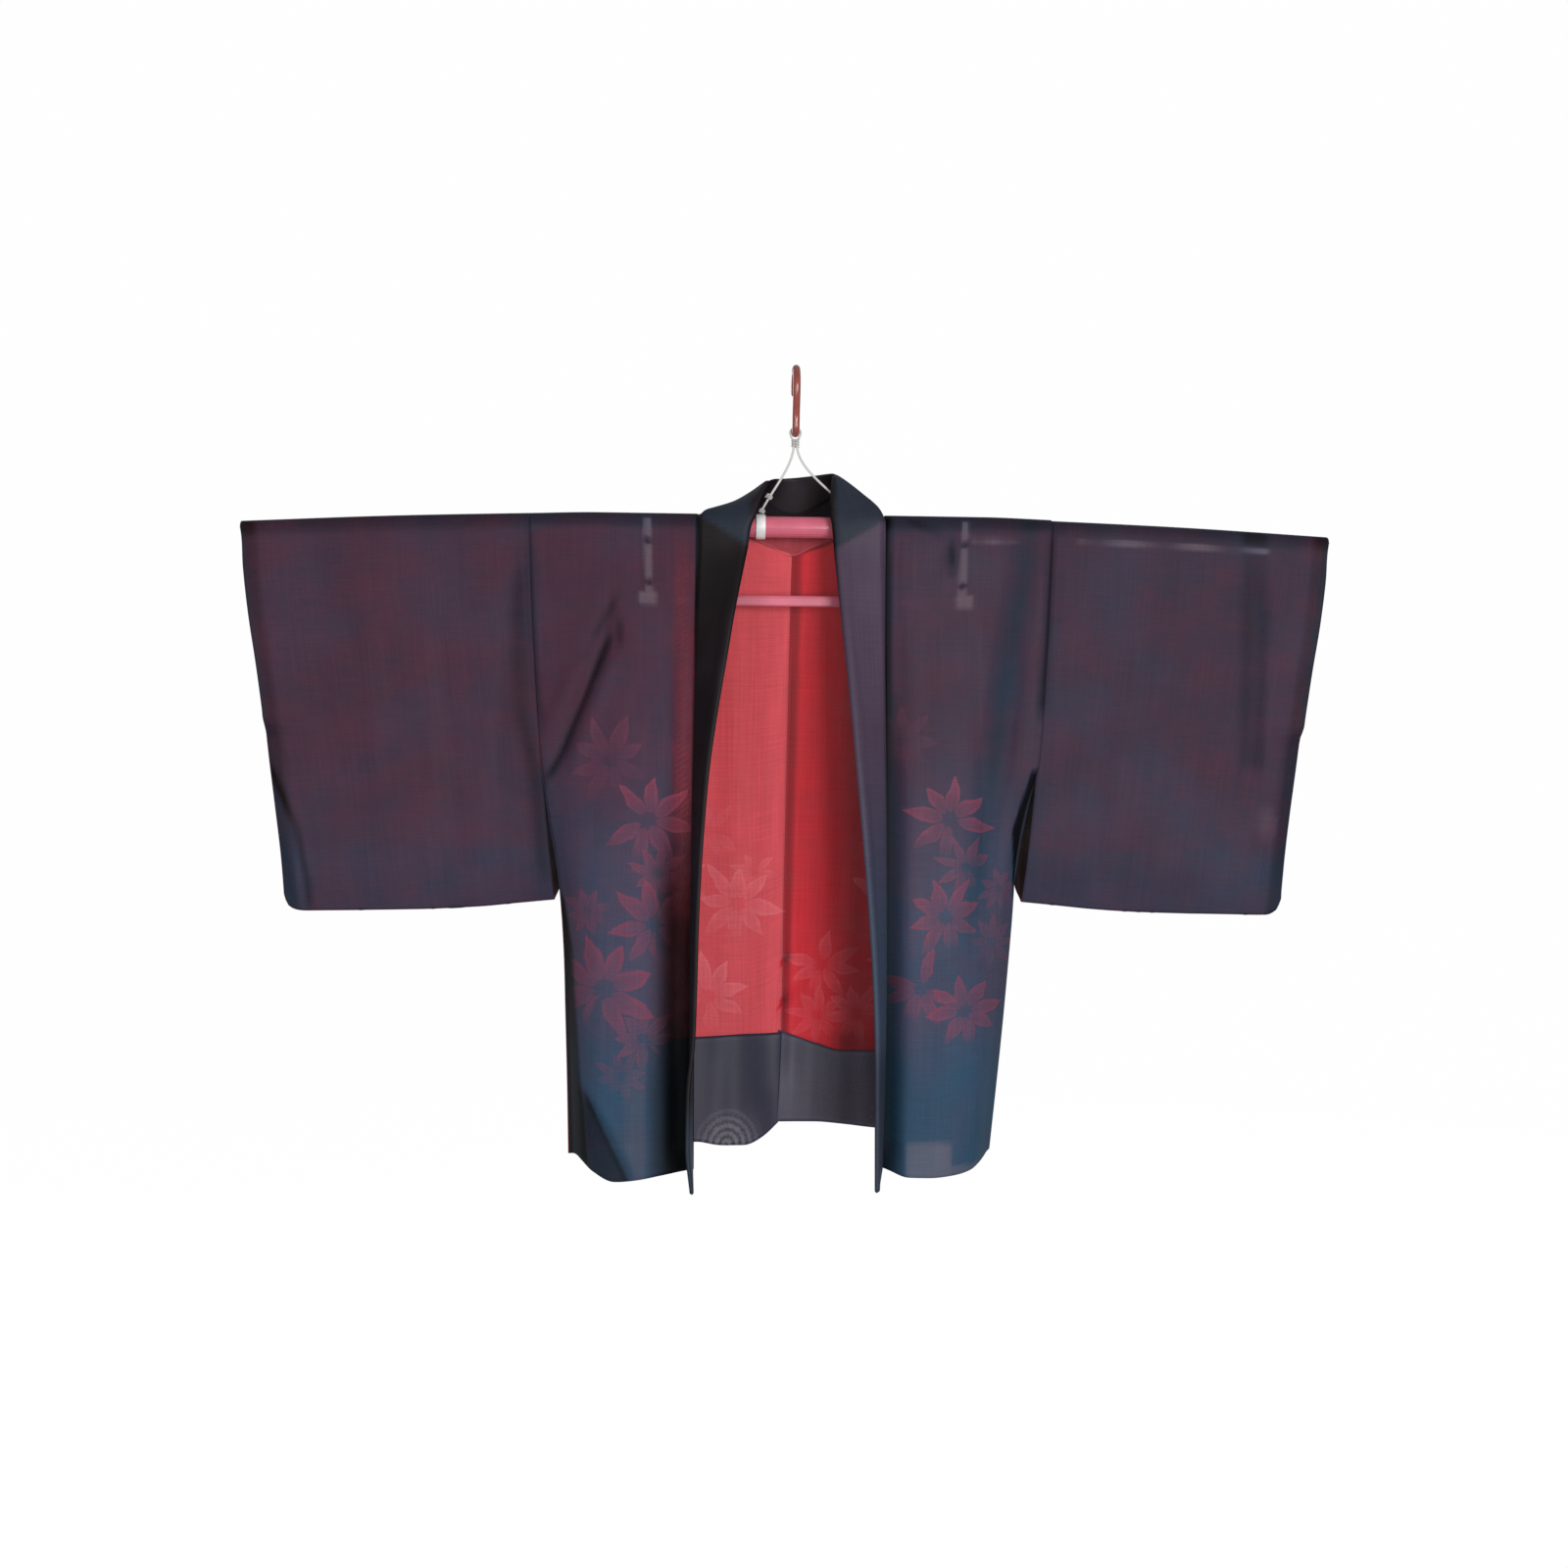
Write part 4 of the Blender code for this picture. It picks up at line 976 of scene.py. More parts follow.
def new_finish(name, **sockets):
    """A material, a function that adds its nodes, and its shader, with values on the shader's own sockets."""
    finish = bpy.data.materials.new(name)
    finish.use_nodes = True
    shader = finish.node_tree.nodes["Principled BSDF"]
    wire(shader, {socket.replace("_", " "): value for socket, value in sockets.items()})
    return finish, partial(node, finish.node_tree), shader


def petals():
    """Node group: a spray of lance-shaped petals about a point, from a place in units of its radius."""
    if "petals" in bpy.data.node_groups:
        return bpy.data.node_groups["petals"]
    group = bpy.data.node_groups.new("petals", "ShaderNodeTree")
    group.interface.new_socket("Place", in_out="INPUT", socket_type="NodeSocketVector")
    group.interface.new_socket("Leaf", in_out="OUTPUT", socket_type="NodeSocketFloat")
    add = partial(node, group)
    entry = group.nodes.new("NodeGroupInput")
    leave = group.nodes.new("NodeGroupOutput")
    # a little waver, so that no two petals have the same edge
    wobble = add("TexNoise", {"Vector": entry.outputs["Place"], "Scale": 2.6, "Detail": 1.0})
    shift = add("VectorMath SUBTRACT", (wobble.outputs["Color"], (0.5, 0.5, 0.5)))
    bent = add("VectorMath MULTIPLY_ADD", (shift, (0.16, 0.16, 0), entry.outputs["Place"]))
    place = add("SeparateXYZ", (bent,))
    label = add("SeparateXYZ", (entry.outputs["Place"],))
    number = add("Math FLOOR", (label.outputs["Z"],))
    strength = add("Math FRACT", (label.outputs["Z"],))
    angle = add("Math ARCTAN2", (place.outputs["X"], place.outputs["Y"]))
    share = add("Math MULTIPLY_ADD", (angle, 8 / (2 * math.pi), 0.5))
    which = add("Math FLOOR", (share,))
    within = add("Math FRACT", (share,))
    mixed = add("CombineXYZ", (which, number))
    chance = add("TexWhiteNoise", {"Vector": mixed}, noise_dimensions="2D")
    luck = add("SeparateColor", (chance.outputs["Color"],))
    # angle from the petal's own middle line
    jitter = add("Math MULTIPLY_ADD", (luck.outputs["Blue"], 0.24, -0.62))
    centred = add("Math", (within, jitter))
    offset = add("Math MULTIPLY", (centred, 2 * math.pi / 8))
    radius = add("VectorMath MULTIPLY", (bent, (1, 1, 0)))
    far = add("VectorMath LENGTH", (radius,))
    cosine = add("Math COSINE", (offset,))
    sine = add("Math SINE", (offset,))
    along = add("Math MULTIPLY", (far.outputs["Value"], cosine))
    aside = add("Math MULTIPLY", (far.outputs["Value"], sine))
    side = add("Math ABSOLUTE", (aside,))
    tip = add("MapRange", (luck.outputs["Red"], 0, 1, 0.80, 1.08))
    t = add("MapRange", (along, 0.14, tip))
    left = add("Math SUBTRACT", (1.0, t))
    swell = add("Math POWER", (t, 0.62))
    lance = add("Math MULTIPLY", (swell, left))
    half = add("Math MULTIPLY", (lance, 0.47))
    edge = add("Math SUBTRACT", (half, side))
    shape = add("MapRange", (edge, 0.0, 0.022))
    # paler towards the outline and the tip, dark along the base, as in dye pushed out from the middle
    rim = add("MapRange", (edge, 0.015, 0.10, 1.0, 0.55))
    grow = add("MapRange", (along, 0.12, 0.55, 0.35, 1.0))
    rib = add("MapRange", (side, 0.004, 0.016, 1.25, 1.0))
    kept = add("Math GREATER_THAN", (luck.outputs["Green"], 0.07))
    down = add("MapRange", (place.outputs["Y"], -0.75, -0.30))
    total = shape
    for factor in (rim, grow, rib, kept, strength, down):
        total = add("Math MULTIPLY", (total, factor))
    wire(leave, {"Leaf": total})
    return group


def silk(name, plum, slate, leaf, see_through, leaves=False, inner=False, rings=None, worn_and_lit="#8d8793",
         **sockets):
    """Sheer figured silk gauze, woven with a dark and a red yarn and dyed from plum to slate.

    The yarn is fine and smooth, so the cloth has a soft sheen, lets light through between its weft
    rows, and shades unevenly in slubs a few centimetres long.
    """
    finish, add, shader = new_finish(name, **sockets)
    chart = add("UVMap", uv_map="cloth")
    solid = add("TexCoord").outputs["Object"]
    # the dye attribute: share of slate, extra thickness, and paleness, or painted shade where negative
    dye = add("SeparateXYZ", {0: add("Attribute", attribute_name="dye").outputs["Vector"]})
    # clouds of dye 110 mm across
    cloud = add("TexNoise", {"Vector": solid, "Scale": 9.0, "Detail": 2.0, "Roughness": 0.5})
    drift = add("MapRange", (cloud, 0.34, 0.66, -0.10, 0.10))
    share = add("Math", (dye.outputs["X"], drift), use_clamp=True)
    ground = add("Mix", {"Factor": share, "A": plum, "B": slate}, data_type="RGBA")
    # slubs in the weft, 40 mm long and 2 mm deep, and finer streaks down the warp
    weft_map = add("Mapping", {"Vector": chart, "Scale": (25, 480, 1)})
    weft = add("TexNoise", {"Vector": weft_map, "Scale": 1.0, "Detail": 2.0})
    warp_map = add("Mapping", {"Vector": chart, "Scale": (420, 9, 1)})
    warp = add("TexNoise", {"Vector": warp_map, "Scale": 1.0, "Detail": 1.0})
    slub = add("Math", (weft, warp))
    uneven = add("MapRange", (slub, 0.7, 1.3, 0.90, 1.10))
    # gauze rows: about 0.5 mm apart in such cloth, drawn 2.4 mm apart so that they show
    rows = add("TexWave", {"Vector": chart, "Scale": 131.0, "Distortion": 0.5, "Detail": 1.0},
               wave_type="BANDS", bands_direction="Y")
    open_rows = add("MapRange", (rows, 0, 1, -0.014, 0.014))
    # patches 50 mm across where the yarns lie closer or looser
    patch = add("TexNoise", {"Vector": solid, "Scale": 19.0, "Detail": 5.0, "Roughness": 0.7})
    loose = add("MapRange", (patch, 0.36, 0.64, -0.038, 0.038))
    colour = ground.outputs["Result"]
    if leaves:
        masks = []
        for layer in LEAF_LAYERS:
            spot = add("Attribute", attribute_name=layer).outputs["Vector"]
            masks.append(add("Group", (spot,), node_tree=petals()))
        both = add("Math MAXIMUM", (masks[0], masks[1]))
        faded = add("MapRange", (cloud, 0.25, 0.60, 0.65, 1.0))
        shown = add("Math MULTIPLY", (both, faded), use_clamp=True)
        colour = add("Mix", {"Factor": shown, "A": colour, "B": leaf}, data_type="RGBA").outputs["Result"]
    whiten, shade = dye.outputs["Z"], dye.outputs["Z"]
    # the inner face takes its painted light and shade from an attribute of its own
    if inner:
        whiten = shade = add("Attribute", attribute_name="inner_light_and_shade").outputs["Fac"]
    density = add("Math", (open_rows, see_through))
    uneven_thick = add("Math", (density, loose))
    thick = add("Math", (uneven_thick, dye.outputs["Y"]), use_clamp=True)
    # ripples 6 mm apart show only where the cloth is drawn thin
    tilted = add("Mapping", {"Vector": solid, "Rotation": (0, 0.6, 0)})
    ripple = add("TexWave", {"Vector": tilted, "Scale": 52.0, "Distortion": 2.0,
                             "Detail": 1.0}, wave_type="BANDS", bands_direction="Z")
    drawn = add("MapRange", (dye.outputs["Y"], -0.02, -0.08, 0.0, -0.11))
    solidity = add("Math MULTIPLY_ADD", (ripple, drawn, thick), use_clamp=True)
    if rings:
        # painted moiré: paler curved lines where light shows through two layers of gauze lying close
        middle, stretch, paler = rings
        ring_map = add("Mapping", {"Vector": solid, "Location": middle, "Scale": (1, 1, stretch)},
                       vector_type="TEXTURE")
        water = add("TexWave", {"Vector": ring_map, "Scale": 38.0, "Distortion": 3.0,
                                "Detail": 1.0, "Detail Scale": 12.0},
                    wave_type="RINGS", rings_direction="Y")
        away = add("VectorMath LENGTH", (ring_map,))
        fade = add("MapRange", (away.outputs["Value"], 0.020, 0.046, 1.0, 0.0))
        mark = add("Math MULTIPLY", (water, fade))
        whiten = add("Math MULTIPLY_ADD", (mark, paler, whiten))
    # paler where rubbed or thin and where light is painted on, darker where shade is painted into folds
    pale = add("Mix", {"Factor": whiten, "A": colour, "B": hexed(worn_and_lit)}, data_type="RGBA")
    dim = add("MapRange", (shade, -1.0, 0.0))
    tone = add("Math MULTIPLY", (uneven, dim))
    shaded = add("VectorMath SCALE", {0: pale.outputs["Result"], "Scale": tone})
    relief = add("Math", (slub, rows))
    bump = add("Bump", {"Height": relief, "Strength": 0.2, "Distance": 0.0002})
    wire(shader, {"Base Color": shaded, "Alpha": solidity, "Normal": bump})
    return finish


def silk_faces(kind):
    """The outer and the inner face of the silk, figured with leaves or plain."""
    names = [f"{kind}_silk_{face}" for face in ("outer", "inner")]
    if names[0] in bpy.data.materials:
        return [bpy.data.materials[name] for name in names]
    cloth = bpy.context.scene.haori_cloth
    leaves = kind == "figured"
    return [
        silk(names[0], cloth.plum, cloth.slate, cloth.leaf, cloth.solidity, leaves=leaves, **DARK_FACE),
        silk(names[1], cloth.red, cloth.red_low, cloth.red_leaf, cloth.inner_solidity, leaves=leaves,
             inner=True, worn_and_lit="#f2a2ac", **RED_FACE),
    ]


def speckled(add, shader, colour, darker, tone, height, strength, depth):
    """Colour that darkens unevenly, and a fine relief."""
    low = (*(darker * part for part in colour[:3]), 1.0)
    shade = add("Mix", {"Factor": tone, "A": low, "B": colour}, data_type="RGBA")
    bump = add("Bump", {"Height": height, "Strength": strength, "Distance": depth})
    wire(shader, {"Base Color": shade.outputs["Result"], "Normal": bump})


def rose_plastic():
    """Rose ABS, extruded: a glossy skin with fine draw lines along the bar and a faint cloudiness."""
    if "rose_abs_extruded" in bpy.data.materials:
        return bpy.data.materials["rose_abs_extruded"]
    finish, add, shader = new_finish("rose_abs_extruded", Roughness=0.30, IOR=1.53, Coat_Weight=0.35,
                                     Coat_Roughness=0.12, Subsurface_Weight=0.12, Subsurface_Scale=0.002)
    solid = add("TexCoord").outputs["Object"]
    # draw lines 1 mm apart across the bar, which run along it for a third of a metre
    drawn = add("Mapping", {"Vector": solid, "Scale": (3, 900, 900)})
    lines = add("TexNoise", {"Vector": drawn, "Scale": 1.0, "Detail": 2.0})
    cloud = add("TexNoise", {"Vector": solid, "Scale": 30.0, "Detail": 2.0})
    both = add("Math", (lines, cloud))
    tone = add("MapRange", (both, 0.7, 1.3))
    speckled(add, shader, tuple(bpy.context.scene.haori_hanger.rose), 0.78, tone, lines, 0.25, 0.0002)
    return finish


def moulded(name, colour, roughness, grain, metallic=0.0, coat=0.0):
    """Moulded plastic or pressed metal: one colour, a fine grain and slightly rubbed high places."""
    if name in bpy.data.materials:
        return bpy.data.materials[name]
    finish, add, shader = new_finish(name, Metallic=metallic, Coat_Weight=coat, Coat_Roughness=0.1)
    solid = add("TexCoord").outputs["Object"]
    fine = add("TexNoise", {"Vector": solid, "Scale": 1.0 / grain, "Detail": 2.0})
    # rubbed places about 11 mm across
    broad = add("TexNoise", {"Vector": solid, "Scale": 90.0, "Detail": 3.0})
    tone = add("MapRange", (broad, 0.35, 0.65))
    rough = add("MapRange", (broad, 0, 1, roughness * 0.8, roughness * 1.2))
    wire(shader, {"Roughness": rough})
    speckled(add, shader, colour, 0.82, tone, fine, 0.2, 0.0001)
    return finish


def white_plastic():
    """Polypropylene, moulded: white, with a soft gloss and a grain of 0.6 mm."""
    return moulded("white_polypropylene_moulded", tuple(bpy.context.scene.haori_hanger.white), 0.42, 0.0006)


def braided():
    """White nylon cord, braided: soft and dull, with the slanted lay of its strands."""
    finish, add, shader = new_finish("nylon_cord_braided", Roughness=0.7, Sheen_Weight=0.3)
    wrap = add("UVMap", uv_map="wrap")
    slant = add("Mapping", {"Vector": wrap, "Rotation": (0, 0, math.radians(38))})
    # strands 1.2 mm apart
    lay = add("TexWave", {"Vector": slant, "Scale": 260.0, "Distortion": 0.6},
              wave_type="BANDS", bands_direction="X")
    # darker where the lay sinks between the strands: painted shade
    colour = add("Mix", {"Factor": lay, "A": hexed("#b9b7b4"), "B": hexed("#f1f0ee")}, data_type="RGBA")
    bump = add("Bump", {"Height": lay, "Strength": 0.6, "Distance": 0.0003})
    wire(shader, {"Base Color": colour.outputs["Result"], "Normal": bump})
    return finish


class HaoriCloth(bpy.types.PropertyGroup):
    """Sizes and colours of the jacket's cloth."""

    spacing: FloatProperty(name="Mesh spacing", description="Distance between the points of the cloth's mesh",
                           default=0.0044, min=0.002, max=0.02, unit="LENGTH")
    thickness: FloatProperty(name="Thickness", description="Thickness of one layer of cloth",
                             default=0.0006, min=0.0002, max=0.002, unit="LENGTH")
    solidity: FloatProperty(name="Solidity", description="Share of light that the outer face of the cloth stops",
                            default=0.757, min=0.1, max=1.0, subtype="FACTOR")
    inner_solidity: FloatProperty(name="Inner solidity",
                                  description="Share of light that the inner face of the cloth stops",
                                  default=0.67, min=0.1, max=1.0, subtype="FACTOR")
    plum: FloatVectorProperty(name="Plum", description="Outer face of the cloth above the chest",
                              default=hexed("#253143"), size=4, subtype="COLOR")
    slate: FloatVectorProperty(name="Slate", description="Outer face of the cloth towards the hem",
                               default=hexed("#2a4f68"), size=4, subtype="COLOR")
    leaf: FloatVectorProperty(name="Leaf", description="Leaves dyed on the outer face",
                              default=hexed("#86455f"), size=4, subtype="COLOR")
    red: FloatVectorProperty(name="Red", description="Inner face of the cloth",
                             default=hexed("#f4343e"), size=4, subtype="COLOR")
    red_low: FloatVectorProperty(name="Low red", description="Inner face of the cloth towards the hem",
                                 default=hexed("#f0303c"), size=4, subtype="COLOR")
    red_leaf: FloatVectorProperty(name="Red leaf", description="Leaves as they show on the inner face",
                                  default=hexed("#ff6e78"), size=4, subtype="COLOR")


class HaoriHanger(bpy.types.PropertyGroup):
    """Colours of the hanger."""

    rose: FloatVectorProperty(name="Rose", description="Plastic of the bars",
                              default=hexed("#de6c82"), size=4, subtype="COLOR")
    white: FloatVectorProperty(name="White", description="Plastic of the straps and clips",
                               default=hexed("#f3f2f0"), size=4, subtype="COLOR")
    copper: FloatVectorProperty(name="Copper", description="Plastic of the hook",
                                default=hexed("#9a4a40"), size=4, subtype="COLOR")


class HaoriStage(bpy.types.PropertyGroup):
    """The plain studio round the jacket."""

    floor_drop: FloatProperty(name="Floor", description="Height of the floor below the hook's resting point",
                              default=-1.72, unit="LENGTH")
    key_power: FloatProperty(name="Key light", description="Power of the soft light from the front",
                             default=165.0, min=0.0, unit="POWER")
    fill_power: FloatProperty(name="Fill light", description="Power of the weaker light from the other side",
                              default=52.0, min=0.0, unit="POWER")
    back_power: FloatProperty(name="Back light", description="Power of the soft light from behind",
                              default=15.0, min=0.0, unit="POWER")
    ambient: FloatProperty(name="Ambient", description="Brightness of the even light from all round",
                           default=0.34, min=0.0)


# ---- the cloth's pieces
class HAORI_OT_body(bpy.types.Operator):
    """Two lengths of cloth, each from the front hem over the shoulder to the back hem"""

    bl_idname = "haori.body"
    bl_label = "Body lengths"

    def execute(self, context):
        for side in SIGN:
            rows = stations(side, front=FRONT_ROWS, arc=ARC_STEPS, neck=NECK_ROWS, back=BACK_ROWS)
            grid, lengths = fine_grid(body_point, rows, PANEL_COLUMNS)
            across = lengths[1]
            x, h = jacket_places(grid)
            # 1 on the front half: by depth over the shoulder, and out to the side seam below it
            fore = np.arange(len(h))[:, None] <= np.argmax(h, axis=0)
            front = np.maximum(eased(-grid[..., 1] / 0.01), fore * past(-h, 300, 50))
            back = 1 - front
            low = past(-h, 190, 320)
            # painted shade along the fold over the bar, where the cloth is also thicker
            ridge = past(from_top(x, h), -8, 10)
            creases = front * creased(x, h, FRONT_PAINTED_SHADE)
            from_side = front_reach(side, h) - np.abs(x)
            slate = 0.08 + 0.90 * low
            thick = 0.02 * edge_band(across, 12) + 0.05 * ridge + 0.12 * front * past(-h, 560, 120) + 0.10 * creases
            # painted shade: the fold over the bar, low down near the side seam, and the deep folds and seams
            depth = -0.38 * ridge - 0.15 * front * past(-h, 360, 100) * past(-from_side, -20, 12) - creases
            # painted shade on the inner face of the back, along its folds
            inner_light_and_shade = -creased(x, h, BACK_PAINTED_SHADE)
            if side == "right":
                # painted light: a red glow beside the collar; and a painted shadow there lower down
                glow = banded(x, -140, -110, 12) * banded(h, -470, -30, 80)
                shadow = past(x, -172, 34) * past(-h, 300, 170)
                # painted shade where the hem's corner is turned up, and a painted highlight on the fold beside it
                turned = past(-x - 0.50 * h, 569, 6) * past(-h, 655, 30)
                bright = banded(x, -192, -152, 14) * past(-h, 600, 60)
                # painted shade in a strip along the side seam, where the cloth turns from the light, wider towards
                # the hem
                strip = np.interp(-h, *mm([[440, 500, 630, 760], [3, 12, 16, 24]]))
                strip = past(strip - from_side, -3.5, 7) * past(-h, 430, 20)
                slate = slate - front * (0.7 * glow + 0.9 * shadow + 0.45 * turned + 0.7 * strip + 0.30 * bright)
                thick = thick + front * (0.12 * shadow + 0.16 * strip - 0.07 * glow) + 0.07 * back
                depth = depth - front * (0.94 * shadow + 0.60 * turned + 0.86 * strip)
                wear_and_light = front * 0.10 * bright * (1 - strip) * (1 - turned)
                # painted light: the inner face of this back is paler, and more so along the folded edge of the centre
                # back seam
                seam = edge_band(across, 2, at_end=False)
                inner_light_and_shade = np.where(inner_light_and_shade < -0.05, inner_light_and_shade, 0.20 + 0.20 * seam)
            else:
                # painted shade along the collar, where the front turns from the light, narrow above and wider below
                narrow = 18 * past(h, -360, 200)
                edge = past(-x, narrow - 141, 30 - narrow)
                # a slanting fold with a painted slate-coloured sheen and some painted shade, and painted shade on a
                # turned edge beside the sleeve
                teal_sheen = bell(x - 0.16 * h, 285, 14) * banded(h, -500, 20, 160)
                folded = past(x - np.interp(h, *mm([[-450, -360, -290], [266, 262, 286]])), 0, 3)
                folded = folded * banded(h, -440, -290, 10)
                # painted light: the hem is sheer, more so towards the front, and the light through it is painted as
                # paleness; above, a painted glint of the hanger's arm
                sheer = past(-h, 724, 4) * past(-x, -190, 4) + 0.7 * past(-h, 751, 4) * past(x, 186, 4)
                glint = banded(h, -19.5, -12.5, 4) * banded(x, 214, 288, 8)
                plain = (1 - edge) * (1 - teal_sheen) * banded(h, -500, -20, 50) * (creases < 0.05)
                slate = slate + front * (0.20 * teal_sheen - 0.9 * folded - 0.03 - 0.30 * sheer)
                thick = thick + front * (0.20 * folded + 0.12 * edge + 0.07 * teal_sheen + 0.02) + 0.07 * back * low
                depth = depth - front * (0.88 * edge + 0.30 * teal_sheen + 0.95 * folded)
                wear_and_light = 0.28 * sheer * (1 - edge) + 0.30 * glint * (0.7 + 0.3 * np.sin(190 * x))
                wear_and_light = front * np.maximum(wear_and_light, 0.05 * plain)
                # painted shade on the inner face: a groove beside the centre back seam, and darker from 44 mm out
                # from the middle
                inner_light_and_shade = inner_light_and_shade - 0.60 * banded(across, 1, 10, 5) - 0.58 * past(x, 44, 45)
            # painted see-through: paler where the white strap and cap lie behind the front, darker over the dark
            # studs
            pressed, studs = straps_seen_through(side, x, h)
            depth = depth - front * 0.55 * studs
            pale = depth + wear_and_light * (1 - np.clip(-4 * depth, 0, 1))
            pale = pale + (0.30 - pale) * front * pressed
            piece = cloth_piece(f"haori_body_{side}", grid, lengths, silk_faces("figured"), dyed(slate, thick, pale),
                                flip=side == "right", leaves=True, lift=0.0015 if side == "left" else 0.0004,
                                inner_light_and_shade=front * depth + back * inner_light_and_shade)
            seat(piece, "sheer_silk", f"body_front_{side}", f"body_back_{side}")
        return {"FINISHED"}


class HAORI_OT_facings(bpy.types.Operator):
    """The deep turned-up hem inside each half of the back"""

    bl_idname = "haori.facings"
    bl_label = "Hem facings"

    def execute(self, context):
        face = silk("facing_silk_shown", hexed("#292339"), hexed("#272c44"), context.scene.haori_cloth.leaf, 0.80,
                    rings=(mm((-74, 62, -934)), 1.1, 0.52), Roughness=0.5, Sheen_Weight=0.3,
                    Sheen_Roughness=0.35, Sheen_Tint=hexed("#a8b4d0"), IOR=1.45)
        for side in SIGN:
            grid, lengths = fine_grid(facing_point, [(side, step) for step in FACING_ROWS], PANEL_COLUMNS)
            along, across = lengths
            up = along[:, None] + 0 * across
            thick = 0.12 * edge_band(along, 7)[:, None] + 0.08 * edge_band(across, 10)
            dye = dyed(0.30 + 0.4 * past(up, 20, 100), thick, 0.14 * (side == "left"))
            piece = cloth_piece(f"haori_facing_{side}", grid, lengths, [face, face], dye,
                                flip=side == "right", lift=0.0002)
            seat(piece, "facing_silk", f"hem_facing_{side}")
        return {"FINISHED"}


class HAORI_OT_gussets(bpy.types.Operator):
    """The narrow side panels between front and back"""

    bl_idname = "haori.gussets"
    bl_label = "Side gussets"

    def execute(self, context):
        for side in SIGN:
            grid, lengths = fine_grid(gusset_point, [(side, step) for step in GUSSET_ROWS], GUSSET_COLUMNS)
            along, across = lengths
            _, h = jacket_places(grid)
            # painted shade: the right gusset is turned out of the light, and is painted dark low down
            shaded = 0.88 * past(-h, 420, 30) * (side == "right")
            thick = 0.10 * edge_band(across, 8) + 0.10 * edge_band(along, 10)[:, None]
            dye = dyed(0.45 + 0.5 * past(-h, 300, 300) - shaded, thick + 0.15 * shaded, -shaded)
            piece = cloth_piece(f"haori_gusset_{side}", grid, lengths, silk_faces("plain"), dye, flip=side == "left")
            seat(piece, "sheer_silk", f"side_gusset_{side}")
        return {"FINISHED"}


class HAORI_OT_sleeves(bpy.types.Operator):
    """The two sleeves, each a bag folded over the arm of the hanger"""

    bl_idname = "haori.sleeves"
    bl_label = "Sleeves"

    def execute(self, context):
        for side in SIGN:
            rows = stations(side, front=SLEEVE_ROWS, arc=ARC_STEPS, back=SLEEVE_ROWS[-2::-1])
            grid, lengths = fine_grid(sleeve_point, rows, SLEEVE_COLUMNS)
            across = lengths[1]
            x, h = jacket_places(grid)
            front = 1.0 * (grid[..., 1] < 0)
            ridge = past(from_top(x, h), -12, 12)
            mouth = edge_band(across, 22, at_start=False)
            hem = banded(h, -480, -384, 4)
            creases = front * creased(x, h, FRONT_PAINTED_SHADE)
            slate = 0.06 + 0.08 * banded(h, -500, -300, 100) + 0.05 * hem
            thick = 0.02 * edge_band(across, 14) + 0.03 * hem + 0.06 * ridge + 0.07 * mouth + 0.16 * creases
            # painted shade along the fold over the arm, along the open cuff edge and in deep folds and seams, where
            # the cloth is also thicker
            depth = -0.38 * ridge - 0.46 * mouth - creases
            if side == "right":
                # the cuff's lower corner is folded outwards
                turn = np.interp(h, *mm([[-465, -429, -360, -282], [-566, -569, -584, -618]]))
                outside = front * past(turn - x, 0, 6) * past(-h, 240, 50)
                slate = slate + 0.14 * outside
                thick = thick + 0.03 * outside
                wear_and_light = 0 * x
            else:
                # painted shade in a fold down the sleeve, a scuff below it, and a painted glint of the arm along the
                # top
                band = front * banded(x, 543, 574, 14) * banded(h, -285, 10, 20)
                slate = slate + 0.12 * band
                thick = thick + 0.03 + 0.05 * band
                depth = depth - 0.40 * band
                scuff = bell(x, 577, 11) * bell(h, -350, 20)
                glint = banded(from_top(x, h), -15, -8, 4) * banded(x, 343, 575, 10)
                wear_and_light = front * (0.12 * scuff + 0.32 * glint * (0.55 + 0.45 * np.sin(75 * x + 2.6)))
            # painted shade: beside the body the inside of the back ply is painted dark, on both its faces
            inside = (grid[..., 1] > 0) * past(ARMHOLE_END - h, 0, 30)
            depth = depth - 0.92 * inside * past(-np.abs(x), -300, 10)
            piece = cloth_piece(f"haori_sleeve_{side}", grid, lengths, silk_faces("plain"),
                                dyed(slate, thick, np.where(wear_and_light > 0.02, wear_and_light, depth)), flip=side == "right",
                                closed=True, inner_light_and_shade=0.10 - 1.08 * inside * past(-np.abs(x), -310, 10))
            seat(piece, "sheer_silk", f"sleeve_{side}")
        return {"FINISHED"}


